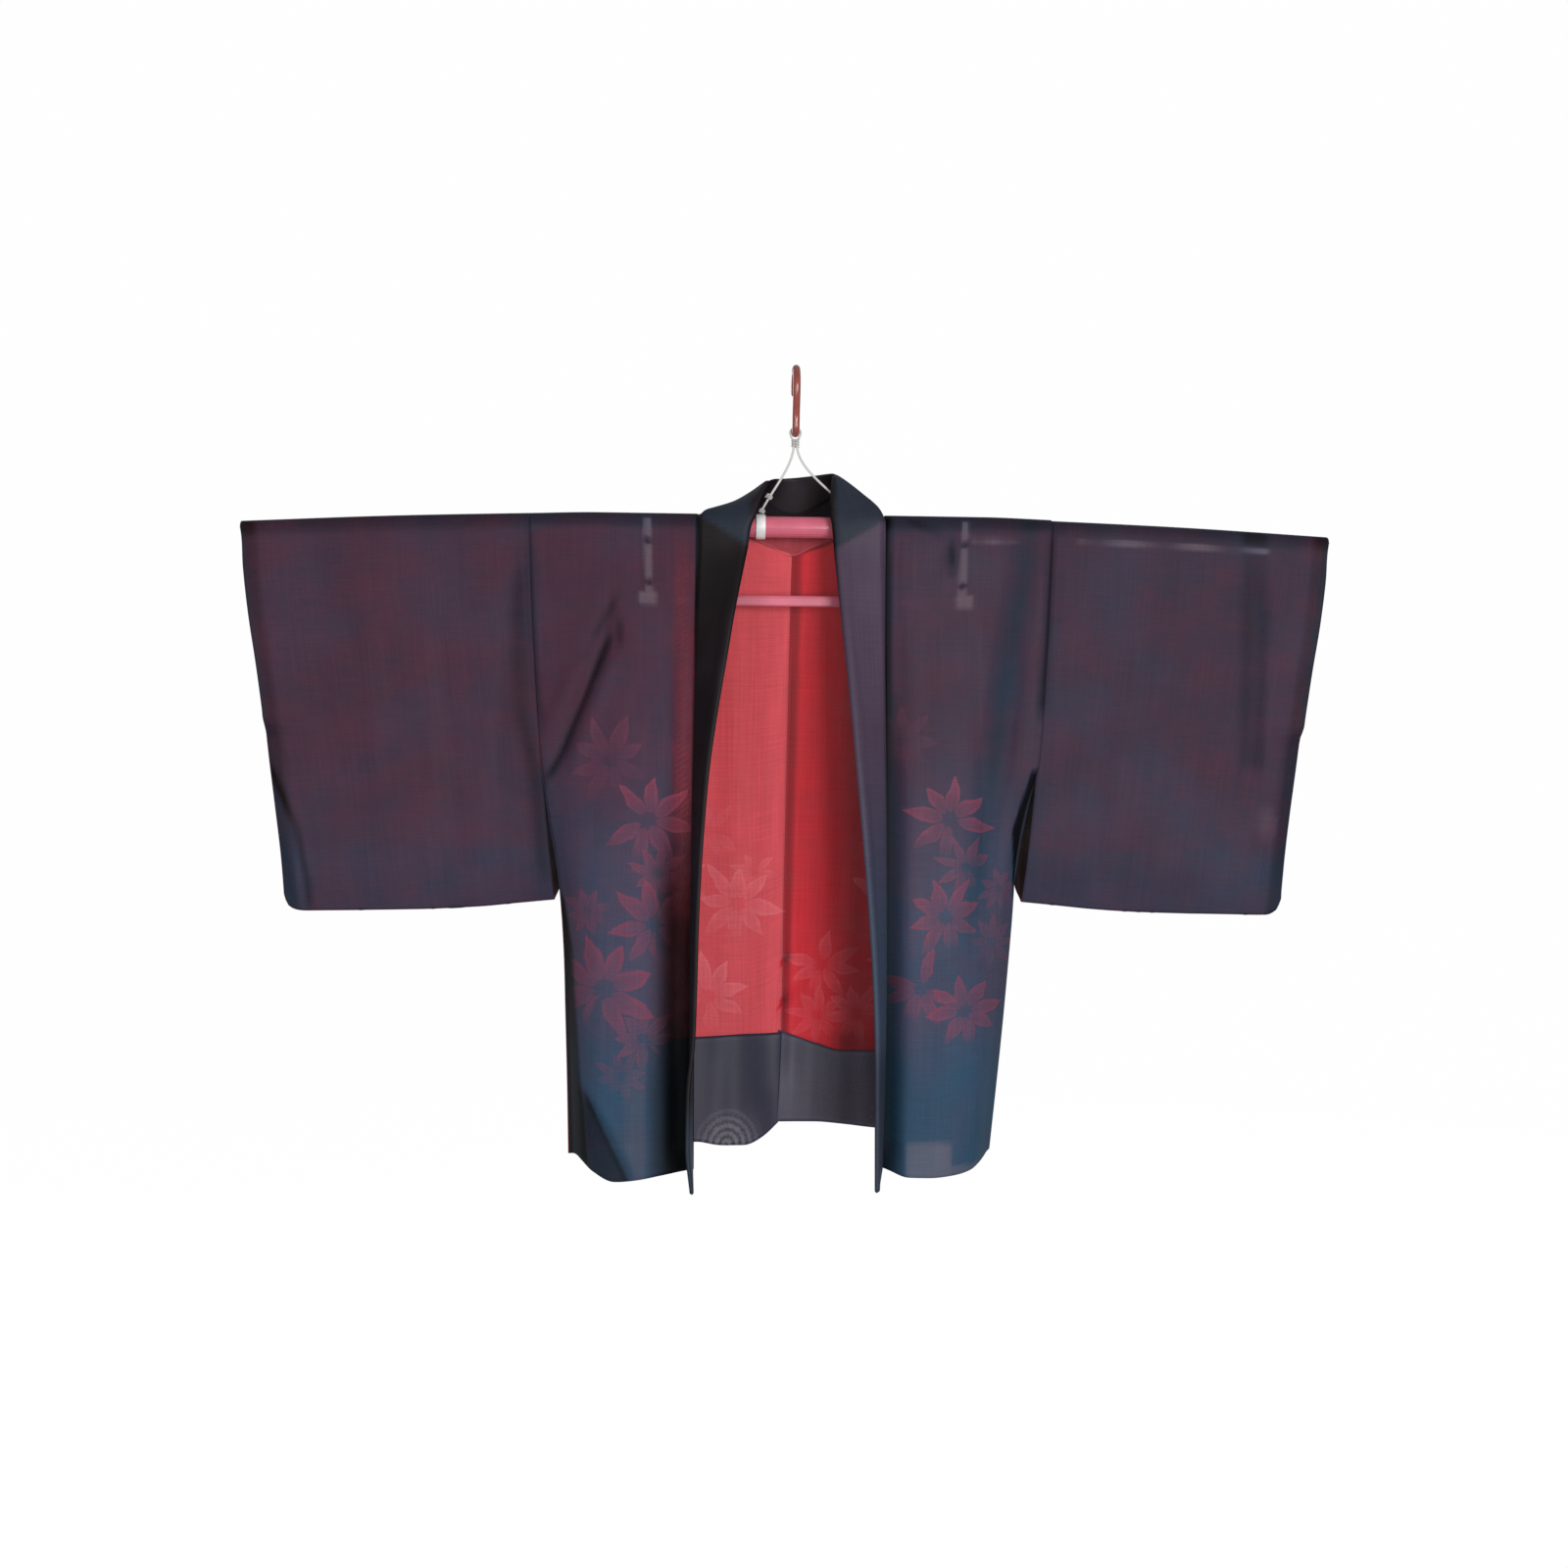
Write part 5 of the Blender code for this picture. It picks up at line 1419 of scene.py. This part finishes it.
class HAORI_OT_collar(bpy.types.Operator):
    """The collar, one strip from hem to hem, folded down the fronts and open round the neck"""

    bl_idname = "haori.collar"
    bl_label = "Collar"

    def execute(self, context):
        rows = stations("left", front=FRONT_ROWS, arc=ARC_STEPS, neck=NECK_ROWS)
        rows += stations("right", neck=NECK_ROWS[-2::-1], arc=ARC_STEPS[::-1], front=FRONT_ROWS[::-1])
        grid, lengths = fine_grid(collar_point, rows, range(9))
        across = lengths[1]
        x, h = jacket_places(grid)
        # painted light and shade: the half of the collar that faces the light is lighter, less so round the neck and
        # at the foot, and the half turned away stays near black; a painted bluish sheen lies down the lit half below
        # the chest, on both halves round the neck, and on the far half at the foot
        lies_left, lies_right = past(x, 46, 10), past(-x, 46, 10)
        upper = past(h - 0.61 * np.abs(x), -61.75, 6)
        foot = past(-h, 580, 60)
        slate = lies_left * (1 - 0.85 * upper) * (1 - 0.75 * foot)
        blue_sheen = lies_left * (0.32 * upper + 0.85 * past(-h, 220, 340) * (1 - 0.5 * foot))
        blue_sheen = blue_sheen + lies_right * (0.32 * upper + 0.40 * past(-h, 660, 60))
        thick = 0.24 + 0.08 * edge_band(across, 10) + 0.12 * (x < 0)
        cloth = context.scene.haori_cloth
        # its near-black plum is painted shade, for the half of the collar turned from the light
        double = silk("doubled_silk", hexed("#120d0e"), hexed("#4b3d50"), cloth.leaf, cloth.solidity, worn_and_lit="#33465a",
                      **{**DARK_FACE, "Roughness": 0.52, "Sheen_Weight": 0.06, "Specular_IOR_Level": 0.25})
        piece = cloth_piece("haori_collar", grid, lengths, [double, double], dyed(slate, thick, blue_sheen),
                            inner_light_and_shade=np.full(x.shape, -0.35))
        # inside the neck, below the bar, the collar's seam is faced with the red side of the silk, in a duller red
        # that is painted darker still, as shade
        faced = silk("faced_silk", hexed("#cb5961"), hexed("#cb5961"), cloth.red_leaf, cloth.inner_solidity,
                     inner=True, **RED_FACE)
        for finish in (faced, double, faced):
            piece.data.materials.append(finish)
        for face in piece.data.polygons:
            if face.center.y > 0.008 and face.center.z < BAR_HEIGHT + 0.002:
                face.material_index = 2 if face.normal.y < 0 else 3
        seat(piece, "sheer_silk", "collar")
        return {"FINISHED"}


# ---- the hanger's pieces
def round_ring(radius, count, ribs=0, depth=0.0):
    """Points of a circle, with shallow lengthwise ribs."""
    points = []
    for angle in turns(count):
        size = radius - depth * (0.5 - 0.5 * math.cos(ribs * angle)) if ribs else radius
        points.append((size * math.cos(angle), size * math.sin(angle)))
    return points


def swept(ring, path, flat, sizes=None, shut=True, chart=None):
    """Carry a closed ring, given across and along the plane's normal, along a path in that plane."""
    work = bmesh.new()
    flat = Vector(flat)
    path = [Vector(point) for point in path]
    sizes = sizes or [1.0] * len(path)
    layer = work.loops.layers.uv.new("wrap") if chart else None
    verts = bmesh.ops.create_circle(work, segments=len(ring), radius=1)["verts"]
    gone = 0.0
    for index, point in enumerate(path):
        before, after = path[max(index - 1, 0)], path[min(index + 1, len(path) - 1)]
        way = (after - before).normalized()
        aside = way.cross(flat)
        if index:
            old = list(verts)
            edges = [next(edge for edge in a.link_edges if edge.other_vert(a) == b)
                     for a, b in zip(old, old[1:] + old[:1])]
            grown = bmesh.ops.extrude_edge_only(work, edges=edges)["geom"]
            fresh = {item for item in grown if isinstance(item, bmesh.types.BMVert)}
            verts = [next(e.other_vert(v) for e in v.link_edges if e.other_vert(v) in fresh) for v in old]
            step = (point - path[index - 1]).length
            if layer:
                for face in {f for v in verts for f in v.link_faces}:
                    for loop in face.loops:
                        which = verts.index(loop.vert) if loop.vert in fresh else old.index(loop.vert)
                        wraps = sorted((verts if v in fresh else old).index(v) for v in face.verts)
                        if wraps[-1] - wraps[0] > 1 and which == 0:
                            which = len(verts)
                        loop[layer].uv = (which / len(verts) * chart, gone + (step if loop.vert in fresh else 0))
            gone += step
        for vert, (a, b) in zip(verts, ring):
            vert.co = point + sizes[index] * (aside * a + flat * b)
    if shut:
        bmesh.ops.holes_fill(work, edges=[edge for edge in work.edges if edge.is_boundary])
    bmesh.ops.recalc_face_normals(work, faces=work.faces)
    return work


def hanger_piece(name, work, finish, slot, nodes=(), smooth=40):
    """Turn a bmesh into a named piece that rides on the frame, smooth except at its sharp edges."""
    for edge in work.edges:
        edge.smooth = not edge.is_manifold or edge.calc_face_angle(0) < math.radians(smooth)
    data = mesh_from(name, work)
    data.materials.append(finish)
    piece = in_scene(name, data)
    seat(piece, slot, *nodes)
    return piece


class HAORI_OT_bars(bpy.types.Operator):
    """The extending top bar with its two sliding arms, and the ribbed lower bar"""

    bl_idname = "haori.bars"
    bl_label = "Bars"

    def execute(self, context):
        rose = rose_plastic()
        ends = (-TUBE_HALF, ROUNDED_END - TUBE_HALF, 0, TUBE_HALF - ROUNDED_END, TUBE_HALF)
        path = [at_bar(HANGER_MIDDLE + x, 0, 0) for x in ends]
        ring = round_ring(TUBE_RADIUS, 144, ribs=24, depth=0.00022)
        work = swept(ring, path, (0, 1, 0), sizes=[0.975, 1, 1, 1, 0.975], shut=False)
        tube = hanger_piece("rose_tube", work, rose, "rose_plastic", ["bar_tube"])
        thicken(tube, TUBE_RADIUS - TUBE_BORE, -1)
        reaches = [TUBE_HALF - ARM_INSERTED, TUBE_HALF, *np.linspace(TUBE_HALF + 0.03, ARM_REACH - 0.002, 24),
                   ARM_REACH - 0.0007, ARM_REACH]
        ring = round_ring(ARM_RADIUS, 96, ribs=16, depth=0.00018)
        for side, sign in SIGN.items():
            path = []
            for reach in reaches:
                x = HANGER_MIDDLE + sign * reach
                path.append(at_bar(x, 0, arm_axis(abs(x)) if abs(x) > STRAIGHT_REACH else 0))
            sizes = [1.0] * (len(path) - 2) + [0.95, 0.86]
            work = swept(ring, path, (0, 1, 0), sizes=sizes)
            hanger_piece(f"rose_arm_{side}", work, rose, "rose_plastic", [f"bar_arm_{side}"])
        clear = CAP_WALL + REST_GAP
        reach = LOWER_BAR_REACH - CAP_LAP + CAP_LENGTH - 0.0045
        ring = []
        for angle in turns(120):
            c, s = math.cos(angle), math.sin(angle)
            # a rounded rectangle with twenty shallow ribs
            size = (abs(c) ** 4 + abs(s) ** 4) ** -0.25 * (1 - 0.022 * (0.5 - 0.5 * math.cos(20 * angle)))
            ring.append(((CAP_HEIGHT / 2 - clear) * c * size, (CAP_DEPTH / 2 - clear) * s * size))
        path = [at_bar(HANGER_MIDDLE + x, 0, CAP_MIDDLE) for x in np.linspace(-reach, reach, 9)]
        hanger_piece("ribbed_lower_bar", swept(ring, path, (0, 1, 0)), rose, "rose_plastic", ["lower_bar"])
        return {"FINISHED"}


def strap_outline():
    """Middle line of a strap's belt in Y and height: over the arm, pinched, and round the cap."""
    half = STRAP_THICK / 2
    over = ARM_RADIUS + REST_GAP + half
    waist = half + REST_GAP
    under_depth = CAP_DEPTH / 2 + REST_GAP + half
    under_half = CAP_HEIGHT / 2 + REST_GAP + half
    right_half = [(over * math.sin(math.radians(a)), over * math.cos(math.radians(a)))
                  for a in range(0, 136, 15)]
    right_half += [(waist, -0.0155), (waist, -0.045), (waist, CAP_MIDDLE + under_half + 0.0045)]
    corner = 0.0030
    for centre_z, start in ((CAP_MIDDLE + under_half - corner, 60), (CAP_MIDDLE - under_half + corner, 0)):
        stop = start - (60 if start else 90)
        for step in range(4):
            angle = math.radians(start + (stop - start) * step / 3)
            right_half.append((under_depth - corner + corner * math.cos(angle),
                               centre_z + corner * math.sin(angle)))
    right_half.append((0, CAP_MIDDLE - under_half))
    left_half = [(-y, z) for y, z in reversed(right_half[1:-1])]
    return right_half + left_half


def cap_middle(side):
    """Middle of a cap, from the middle of the jacket."""
    return HANGER_MIDDLE + SIGN[side] * (LOWER_BAR_REACH + CAP_LENGTH / 2 - CAP_LAP)


def cap_solid(side):
    """A rounded cap with a blind socket for the lower bar."""
    sign = SIGN[side]
    work = bmesh.new()
    bmesh.ops.create_cube(work, size=1)
    bmesh.ops.scale(work, verts=work.verts, vec=(CAP_LENGTH, CAP_DEPTH, CAP_HEIGHT))
    # every edge is rounded but the four round the mouth
    rounded = [edge for edge in work.edges if any(v.co.x * sign > 0 for v in edge.verts)]
    bmesh.ops.bevel(work, geom=rounded, offset=CAP_ROUNDING, segments=5, profile=0.5, affect="EDGES", material=-1)
    mouth = min(work.faces, key=lambda face: face.calc_center_median().x * sign)
    bmesh.ops.inset_region(work, faces=[mouth], thickness=CAP_WALL, use_even_offset=True)
    floor = bmesh.ops.extrude_face_region(work, geom=[mouth])
    moved = [item for item in floor["geom"] if isinstance(item, bmesh.types.BMVert)]
    bmesh.ops.delete(work, geom=[mouth], context="FACES_ONLY")
    bmesh.ops.translate(work, verts=moved, vec=(sign * (CAP_LENGTH - CAP_END), 0, 0))
    bmesh.ops.recalc_face_normals(work, faces=work.faces)
    bmesh.ops.translate(work, verts=work.verts, vec=at_bar(cap_middle(side), 0, CAP_MIDDLE))
    return work


class HAORI_OT_straps(bpy.types.Operator):
    """The two straps with their studs, and the caps that hold the lower bar"""

    bl_idname = "haori.straps"
    bl_label = "Straps and caps"

    def execute(self, context):
        white = white_plastic()
        steel = moulded("blackened_steel_pressed", hexed("#2a262c"), 0.40, 0.0004, metallic=0.6)
        outline = strap_outline()
        loop = np.array(outline + outline[:1])
        keys = passed(loop)
        line = through(keys, loop, np.linspace(0, keys[-1], 241))[:-1]
        face = -(STRAP_THICK + 2 * REST_GAP)
        for side, sign in SIGN.items():
            at = HANGER_MIDDLE + sign * STRAP_OFFSET
            lean = STRAP_LEAN[side]
            work = bmesh.new()
            bmesh.ops.create_grid(work, x_segments=6, y_segments=len(line), size=1)
            work.verts.ensure_lookup_table()
            for n, vert in enumerate(work.verts):
                column, row = n % 7, n // 7
                y, z = line[row % len(line)]
                sunk = min(max(z / CAP_MIDDLE, 0), 1)
                vert.co = at_bar(at + lean * sunk + (column / 3 - 1) * STRAP_WIDTH / 2, y, z)
            bmesh.ops.remove_doubles(work, verts=work.verts, dist=0.00001)
            piece = hanger_piece(f"strap_band_{side}", work, white, "white_plastic", [f"strap_{side}"])
            thicken(piece, STRAP_THICK, 0)
            soft = piece.modifiers.new("soft edges", "BEVEL")
            soft.width = 0.00035
            soft.segments = 2
            soft.limit_method = "ANGLE"
            for level, drop in SNAP_HEIGHTS.items():
                path = [at_bar(at + lean * drop / CAP_MIDDLE, face - out, drop) for _, out in STUD_PROFILE]
                sizes = [SNAP_RADIUS * share for share, _ in STUD_PROFILE]
                work = swept(round_ring(1.0, 32), path, (1, 0, 0), sizes=sizes)
                hanger_piece(f"stud_{side}_{level}", work, steel, "stud_metal", [f"strap_snap_{side}_{level}"])
            hanger_piece(f"cap_{side}", cap_solid(side), white, "white_plastic", [f"lower_bar_cap_{side}"])
        return {"FINISHED"}


def wound(name, points, finish):
    """A short run of cord wound into a knot."""
    data = bpy.data.curves.new(name, "CURVE")
    data.dimensions = "3D"
    data.bevel_depth = 0.85 * CORD_RADIUS
    data.bevel_resolution = 4
    data.use_fill_caps = True
    run = data.splines.new("POLY")
    run.points.add(len(points) - 1)
    for spot, point in zip(run.points, points):
        spot.co = (*point, 1)
    data.materials.append(finish)
    piece = in_scene(name, data)
    seat(piece, "white_cord")
    return piece


def knot_points(low, high, share, size):
    """Points of a figure-of-eight knot, at a share of the way up a leg of the cord."""
    turn = (high - low).to_track_quat("Z", "Y")
    points = []
    for n in range(KNOT_STEPS + 1):
        t = 2 * math.pi * n / KNOT_STEPS
        local = Vector((math.sin(t) + 2 * math.sin(2 * t), math.cos(t) - 2 * math.cos(2 * t), -1.6 * math.sin(3 * t)))
        points.append(low.lerp(high, share) + turn @ (local * size))
    return points


def hook_line():
    """Middle line of the hook's rod in Y and height: round the mouth, down the shank, round the curl."""
    mouth, curl = HOOK_MOUTH + HOOK_RADIUS, HOOK_CURL + HOOK_RADIUS
    curl_middle = BAR_HEIGHT + HOOK_FOOT + curl
    points = [(mouth * math.cos(a), mouth * math.sin(a) - HOOK_MOUTH) for a in np.radians(range(-20, 181, 20))]
    for t in (0.2, 0.4, 0.6, 0.8, 1.0):
        ease = t * t * (3 - 2 * t)
        points.append((-mouth + (mouth - curl) * ease, -HOOK_MOUTH + (curl_middle + HOOK_MOUTH) * t))
    return points + [(curl * math.cos(a), curl_middle + curl * math.sin(a))
                     for a in np.radians(range(205, 351, 24))]


class HAORI_OT_cord(bpy.types.Operator):
    """The clips, the cord that carries the hanger, its knots and the hook"""

    bl_idname = "haori.cord"
    bl_label = "Cord and hook"

    def execute(self, context):
        white, braid = white_plastic(), braided()
        foot = TUBE_RADIUS + CLIP_WALL + CORD_RADIUS + 2 * REST_GAP
        bight = HOOK_RADIUS + REST_GAP + CORD_RADIUS
        half = {}
        for side, sign in SIGN.items():
            middle = HANGER_MIDDLE + sign * CLIP_OFFSET
            path = [at_bar(middle + CLIP_WIDTH * share, 0, 0) for share in (-0.5, -0.46, -0.2, 0.2, 0.46, 0.5)]
            work = swept(round_ring(TUBE_RADIUS + REST_GAP + CLIP_WALL, 96), path, (0, 1, 0),
                         sizes=[0.97, 0.98, 1, 1, 0.98, 0.97], shut=False)
            clip = hanger_piece(f"cord_ring_{side}", work, white, "white_plastic", [f"cord_clip_{side}"])
            thicken(clip, CLIP_WALL, -1)
            tied = CORD_X + sign * (CORD_RADIUS + REST_GAP)
            half[side] = [(middle, foot), (tied, CORD_PINCH)]
            half[side] += [(CORD_X + sign * bight * math.cos(a), HOOK_FOOT + bight * math.sin(a))
                           for a in np.radians((-35, 0, 30, 60))]
        run = half["right"] + [(CORD_X, HOOK_FOOT + bight)] + half["left"][::-1]
        keys = passed(run)
        path = [at_bar(x, 0, z) for x, z in through(keys, np.array(run), np.linspace(0, keys[-1], 261))]
        work = swept(round_ring(CORD_RADIUS, 16), path, (0, 1, 0), chart=2 * math.pi * CORD_RADIUS)
        cord = hanger_piece("hanger_cord", work, braid, "white_cord", ["cord"], smooth=60)
        for side, share, size in KNOTS:
            low, high = [at_bar(x, 0, z) for x, z in half[side][:2]]
            wound(f"cord_knot_{side}_{round(share * 100)}", knot_points(low, high, share, size), braid)
        tie = []
        for n in range(KNOT_STEPS + 1):
            # three turns round both legs, 3 mm higher each time
            turn = 3 * n / KNOT_STEPS
            t = 2 * math.pi * turn
            height = CORD_PINCH - 0.0045 + 0.0030 * turn
            tie.append(at_bar(CORD_X + 0.0038 * math.cos(t), 0.0021 * math.sin(t), height))
        wound("cord_tie", tie, braid)
        copper = moulded("copper_plated_plastic", tuple(context.scene.haori_hanger.copper), 0.24, 0.0008,
                         coat=0.5)
        line = hook_line()
        keys = passed(line)
        # both tips are rounded
        tips, sizes = [0, 0.0012, 0.003], [0.45, 0.80, 0.97]
        places = tips + list(np.linspace(0.005, keys[-1] - 0.005, 120)) + [keys[-1] - tip for tip in tips[::-1]]
        rod = through(keys, np.array(line), np.array(places))
        work = swept(round_ring(HOOK_RADIUS, 40), [(0, y, z) for y, z in rod], (1, 0, 0),
                     sizes=sizes + [1.0] * 120 + sizes[::-1])
        hanger_piece("rail_hook", work, copper, "copper_plastic", ["hook"])
        return {"FINISHED"}


class HAORI_OT_stage(bpy.types.Operator):
    """A plain pale floor that sweeps up into a backdrop, soft lights and the camera"""

    bl_idname = "haori.stage"
    bl_label = "Studio"

    def execute(self, context):
        scene, stage = context.scene, context.scene.haori_stage
        work = bmesh.new()
        spots = [work.verts.new((r, 0, stage.floor_drop + rise)) for r, rise in BOWL]
        edges = [work.edges.new(pair) for pair in zip(spots, spots[1:])]
        bmesh.ops.spin(work, geom=spots + edges, cent=(0, 0, 0), axis=(0, 0, 1), angle=2 * math.pi,
                       steps=72, use_merge=True)
        bmesh.ops.remove_doubles(work, verts=work.verts, dist=0.001)
        bowl = in_scene("studio_bowl", mesh_from("studio_bowl", work))
        # painted board that glows as an even pale ground
        paint, add, shader = new_finish("pale_painted_board", Roughness=0.9, Emission_Color=(1, 1, 1, 1),
                                        Base_Color=hexed("#2c2c2c"))
        # the ground glows evenly to the camera; seen through the cloth its glow is cut down, a painted shade that
        # stands for a dimmer room behind
        path = add("LightPath")
        glow = add("MapRange", (path.outputs["Transparent Depth"], 0, 1, 0.97, 0.09))
        wire(shader, {"Emission Strength": glow})
        paint.cycles.emission_sampling = "NONE"
        bowl.data.materials.append(paint)
        for reach in ("diffuse", "glossy", "transmission", "volume_scatter", "shadow"):
            setattr(bowl, f"visible_{reach}", False)
        powers = {"key": stage.key_power, "fill": stage.fill_power, "back": stage.back_power}
        for name, where, size in LAMPS:
            lamp = bpy.data.lights.new(f"{name}_light", "AREA")
            lamp.shape = "DISK"
            lamp.size = size
            lamp.energy = powers[name]
            item = in_scene(f"{name}_light", lamp)
            item.location = Vector(where) + Vector(LIT_MIDDLE)
            item.rotation_euler = (-Vector(where)).to_track_quat("-Z", "Y").to_euler()
            item.visible_camera = False
        scene.world = bpy.data.worlds.new("even_light")
        scene.world.use_nodes = True
        wire(scene.world.node_tree.nodes["Background"], {"Color": (1, 1, 1, 1), "Strength": stage.ambient})
        lens = bpy.data.cameras.new("camera")
        lens.lens = CAMERA_LENS
        lens.sensor_width = 36
        lens.sensor_fit = "HORIZONTAL"
        scene.camera = in_scene("camera", lens)
        yaw, roll = math.radians(CAMERA_YAW), math.radians(CAMERA_ROLL)
        away = Vector((math.sin(yaw), -math.cos(yaw), 0))
        scene.camera.location = Vector(CAMERA_TARGET) + away * CAMERA_DISTANCE
        scene.camera.rotation_euler = ((-away).to_track_quat("-Z", "Y").to_matrix()
                                       @ Matrix.Rotation(roll, 3, "Z")).to_euler()
        scene.view_settings.view_transform = "Standard"
        scene.cycles.transparent_max_bounces = 32
        return {"FINISHED"}


class HAORI_PT_panel(bpy.types.Panel):
    """Lists the haori's pieces"""

    bl_idname = "HAORI_PT_panel"
    bl_label = "Haori"
    bl_space_type = "VIEW_3D"
    bl_region_type = "UI"
    bl_category = "Haori"

    def draw(self, context):
        for step in STEPS:
            self.layout.operator(step.bl_idname)
        for group in (context.scene.haori_cloth, context.scene.haori_hanger, context.scene.haori_stage):
            box = self.layout.box()
            for name in group.bl_rna.properties.keys():
                if name not in {"rna_type", "name"}:
                    box.prop(group, name)


GROUPS = {"haori_cloth": HaoriCloth, "haori_hanger": HaoriHanger, "haori_stage": HaoriStage}
STEPS = [HAORI_OT_bars, HAORI_OT_body, HAORI_OT_facings, HAORI_OT_gussets, HAORI_OT_sleeves,
         HAORI_OT_collar, HAORI_OT_straps, HAORI_OT_cord, HAORI_OT_stage]


def register():
    """Make the add-on's classes and properties known."""
    for item in (*GROUPS.values(), *STEPS, HAORI_PT_panel):
        bpy.utils.register_class(item)
    for name, group in GROUPS.items():
        setattr(bpy.types.Scene, name, PointerProperty(type=group))


def unregister():
    """Take them away again."""
    for name in GROUPS:
        delattr(bpy.types.Scene, name)
    for item in (HAORI_PT_panel, *reversed(STEPS), *GROUPS.values()):
        bpy.utils.unregister_class(item)


def main():
    """Build every piece."""
    register()
    for step in STEPS:
        group, name = step.bl_idname.split(".")
        getattr(getattr(bpy.ops, group), name)()


if __name__ == "__main__":
    main()
